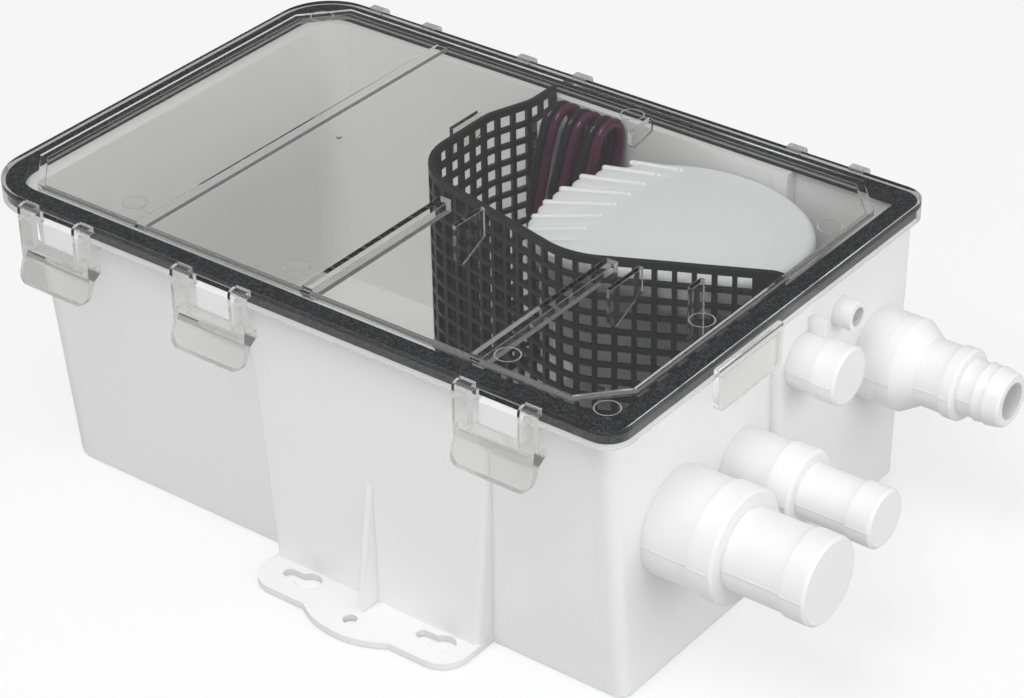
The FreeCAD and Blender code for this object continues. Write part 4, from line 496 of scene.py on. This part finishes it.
print("cap faces", len(ribbed_cap.data.polygons))

# %% [markdown]
# ## Parting lines on the barbs
# The halves of the mould meet at mid-height of each barb and leave a fine line on
# both sides. Each stretch of it is a thin bar, half sunk in the barb.

# %% Parting lines
# Each barb has its axis at y and z, and its steps run from x to x at a radius.
BARBS = [(-47.4, 56.0, [(127.5, 145.4, 19.0), (145.4, 153.7, 19.8),
                        (154.7, 176.6, 14.3), (176.6, 184.6, 15.1)]),
         (-10.5, 57.5, [(127.5, 145.4, 12.7), (145.4, 153.7, 13.5),
                        (154.7, 174.0, 9.5), (174.0, 182.0, 10.3)]),
         (18.5, 83.5, [(131.0, 141.0, 9.5), (141.0, 149.0, 10.3)]),
         (66.5, 62.0, [(131.0, 146.0, 16.5), (153.0, 163.0, 12.0),
                       (163.0, 167.0, 12.8), (168.0, 174.0, 9.8)])]
LINE, LINE_SUNK = 0.4, 0.02
lines = bmesh.new()
for y, z, steps in BARBS:
    for start, end, radius in steps:
        for side in (-1, 1):
            bar = bmesh.ops.create_cube(lines, size=1)["verts"]
            bmesh.ops.scale(lines, vec=(end - start, LINE, LINE), verts=bar)
            middle = ((start + end) / 2, y + side * (radius - LINE_SUNK), z)
            bmesh.ops.translate(lines, vec=middle, verts=bar)
bmesh.ops.scale(lines, vec=(MM, MM, MM), verts=lines.verts)
parting_lines = keep_piece(lines, "parting_lines", white_plastic, "tub", smooth=False)
print("parting lines", len(parting_lines.data.polygons) // 6)

# %% [markdown]
# ## Marks of the mould on the lid
# Pins push a hot moulding out of its mould, and each leaves a shallow round ridge.
# On clear plastic those are the marks that the eye finds first. Each is a low
# three-sided ridge spun round its pin's place, and a ray cast from above finds
# the height of the lid there. The gate, where the plastic came in, is a small dome.

# %% Ejector ridges and the gate
PINS = [(83, -75), (124, -79), (120, -23), (121, 50), (-77, -73), (-5, -73), (-118, 72), (22, 76)]
PIN_RADIUS, RIDGE, RIDGE_HEIGHT, RIDGE_SUNK = 4.2, 0.5, 0.16, 0.02
GATE, GATE_RADIUS, GATE_FLAT = (-51, 2.5), 1.1, 0.4
ABOVE_LID = 300


def lid_place(x, y):
    """The point of the lid's upper face over a place given in millimetres."""
    found, place, _, _ = nodes["lid"].ray_cast((x * MM, y * MM, ABOVE_LID * MM), (0, 0, -1))
    if not found:
        raise ValueError(f"no lid at {x}, {y}")
    return place


marks = bmesh.new()
for pin in PINS:
    centre = lid_place(*pin)
    section = ((-RIDGE / 2, -RIDGE_SUNK), (0, RIDGE_HEIGHT), (RIDGE / 2, -RIDGE_SUNK))
    corners = [marks.verts.new(centre + Vector((PIN_RADIUS + out_by, 0, up_by)) * MM)
               for out_by, up_by in section]
    profile = [marks.edges.new((corners[index], corners[(index + 1) % 3])) for index in range(3)]
    bmesh.ops.spin(marks, geom=corners + profile, cent=centre, axis=(0, 0, 1), angle=2 * math.pi,
                   steps=40, use_merge=True)
gate = bmesh.ops.create_uvsphere(marks, u_segments=20, v_segments=10, radius=GATE_RADIUS * MM)["verts"]
bmesh.ops.scale(marks, vec=(1, 1, GATE_FLAT), verts=gate)
bmesh.ops.translate(marks, vec=lid_place(*GATE), verts=gate)
bmesh.ops.recalc_face_normals(marks, faces=marks.faces)
lid_marks = keep_piece(marks, "lid_marks", lid_plastic, "lid")
print("ridges", len(PINS), "faces", len(lid_marks.data.polygons))

# %% [markdown]
# ## Materials on the CAD nodes
# The CAD shapes are right as they are, so each one only gets its real material.

# %% Dress the nodes
DRESS = {
    white_plastic: ["tub", "outlet_fitting"],
    lid_plastic: ["lid"],
    latch_plastic: [name for name in nodes if name.startswith("latch_")],
    gasket_foam: ["gasket"],
    screen_plastic: ["filter_screen"],
    pump_plastic: ["strainer_base", "volute", "motor_housing", "switch_stem"],
    impeller_plastic: ["impeller"],
    float_plastic: ["switch_float"],
    rubber: ["rubber_elbow", "lead_gland", "outlet_seal", "valve_flap", "shaft_seal"],
    steel: ["flap_pin", "base_screws", "motor_can", "end_bell", "rotor_shaft", "lower_clamp",
            "upper_clamp"],
    bronze: ["lower_bearing", "upper_bearing"],
}
for material, names in DRESS.items():
    for name in names:
        dress(name, material)
print("dressed", sum(len(names) for names in DRESS.values()), "of", len(nodes))

# %% [markdown]
# ## Floor, backdrop and light
# The photograph is a studio shot on white. The floor is white to the camera and grey
# to every other ray, so it doesn't light the walls too much from below. It sits half
# a millimetre under the part. The world is white where it is seen, and otherwise
# lights the part at a plain level.

# %% Floor
FLOOR_GLOW, FLOOR_HALF, FLOOR_UNDER = 0.62, 3.0, 0.0005
floor = new_material("white_sweep")
floor_ray = add(floor, "ShaderNodeLightPath")
floor_shown = add(floor, "ShaderNodeBsdfDiffuse", inputs={"Color": linear("#F4F4F4")})
floor_dim = add(floor, "ShaderNodeBsdfDiffuse", inputs={"Color": linear("#C9C9C9")})
floor_shader = add(floor, "ShaderNodeMixShader",
                   links={"Fac": floor_ray.outputs["Is Camera Ray"], 1: floor_dim.outputs["BSDF"],
                          2: floor_shown.outputs["BSDF"]})
floor_glow = add(floor, "ShaderNodeEmission", inputs={"Color": (1, 1, 1, 1), "Strength": 1.0})
floor_seen = add(floor, "ShaderNodeMath", {"operation": "MULTIPLY"}, inputs={1: FLOOR_GLOW},
                 links={0: floor_ray.outputs["Is Camera Ray"]})
floor_mix = add(floor, "ShaderNodeMixShader",
                links={"Fac": floor_seen.outputs["Value"], 1: floor_shader.outputs["Shader"],
                       2: floor_glow.outputs["Emission"]})
finish_material(floor, floor_mix.outputs["Shader"])
sweep = bmesh.new()
bmesh.ops.create_grid(sweep, x_segments=1, y_segments=1, size=FLOOR_HALF)
bmesh.ops.translate(sweep, verts=sweep.verts, vec=(0, 0, -FLOOR_UNDER))
floor_mesh = bpy.data.meshes.new("studio_floor")
sweep.to_mesh(floor_mesh)
sweep.free()
floor_mesh.materials.append(floor)
studio_floor = bpy.data.objects.new("studio_floor", floor_mesh)
bpy.context.scene.collection.objects.link(studio_floor)
print("floor", 2 * FLOOR_HALF, "m wide")

# %% [markdown]
# A glossy lid mirrors the sky. Under a white sky it would turn white and hide the
# inside, so mirrored and refracted rays meet a dark ring in the sky instead. It runs
# all round, from about 10 to 65 degrees above the horizon, with soft edges, and the
# lid stays clear from any side.

# %% World
AMBIENT, BACKDROP, RING_LEVEL = 0.55, 1.0, 0.2
RING_STARTS, RING_ENDS = (0.10, 0.24), (0.86, 0.95)
world = bpy.data.worlds.new("studio")
world.use_nodes = True
world.node_tree.nodes.clear()
ray = add(world, "ShaderNodeLightPath")
seen = add(world, "ShaderNodeMath", {"operation": "MAXIMUM"},
           links={0: ray.outputs["Is Camera Ray"], 1: ray.outputs["Is Transmission Ray"]})
ambient, backdrop, dark = (
    add(world, "ShaderNodeBackground", inputs={"Color": (1, 1, 1, 1), "Strength": level})
    for level in (AMBIENT, BACKDROP, RING_LEVEL))
sky_place = add(world, "ShaderNodeTexCoord").outputs["Generated"]
sky = add(world, "ShaderNodeSeparateXYZ", links={"Vector": sky_place})
ring_low = add(world, "ShaderNodeMapRange", {"interpolation_type": "SMOOTHSTEP"},
               inputs={"From Min": RING_STARTS[0], "From Max": RING_STARTS[1],
                       "To Min": 0.0, "To Max": 1.0},
               links={"Value": sky.outputs["Z"]})
ring_high = add(world, "ShaderNodeMapRange", {"interpolation_type": "SMOOTHSTEP"},
                inputs={"From Min": RING_ENDS[0], "From Max": RING_ENDS[1],
                        "To Min": 1.0, "To Max": 0.0},
                links={"Value": sky.outputs["Z"]})
ring = add(world, "ShaderNodeMath", {"operation": "MULTIPLY"},
           links={0: ring_low.outputs["Result"], 1: ring_high.outputs["Result"]})
bent_ray = add(world, "ShaderNodeMath", {"operation": "MAXIMUM"},
               links={0: ray.outputs["Is Glossy Ray"], 1: ray.outputs["Is Transmission Ray"]})
ring_met = add(world, "ShaderNodeMath", {"operation": "MULTIPLY"},
               links={0: ring.outputs["Value"], 1: bent_ray.outputs["Value"]})
bright = add(world, "ShaderNodeMixShader",
             links={"Fac": seen.outputs["Value"], 1: ambient.outputs["Background"],
                    2: backdrop.outputs["Background"]})
both = add(world, "ShaderNodeMixShader",
           links={"Fac": ring_met.outputs["Value"], 1: bright.outputs["Shader"],
                  2: dark.outputs["Background"]})
add(world, "ShaderNodeOutputWorld", links={"Surface": both.outputs["Shader"]})
bpy.context.scene.world = world
print("studio ready")

# %% [markdown]
# Three soft lamps do the rest. The top lamp stands high in front and gives the tub
# its gradients. A weak key lamp fills the front, and a side lamp lights the end with
# the barbs. Only the top lamp is mirrored: the other two stand low, and would whiten
# the lid.

# %% Lamps
LAMPS = [("key", (0.5, -1.4, 0.9), (0, 0, 0.05), 0.9, 2.0, False),
         ("side", (1.5, 0.0, 0.6), (0, 0, 0.06), 0.8, 7.0, False),
         ("top", (0.1, -0.8, 1.55), (0, 0, 0.06), 0.9, 12, True)]


def soft_lamp(name, place, target, width, watts, mirrored):
    """Square area lamp aimed at a point, in metres and watts."""
    data = bpy.data.lights.new(name, "AREA")
    data.shape = "SQUARE"
    data.size = width
    data.energy = watts
    lamp = bpy.data.objects.new(name, data)
    lamp.location = place
    aim = Vector(target) - Vector(place)
    lamp.rotation_euler = aim.to_track_quat("-Z", "Y").to_euler()
    lamp.visible_glossy = mirrored
    bpy.context.scene.collection.objects.link(lamp)


for lamp in LAMPS:
    soft_lamp(*lamp)
bpy.context.scene.view_settings.view_transform = "Standard"
print("lamps", len(LAMPS))
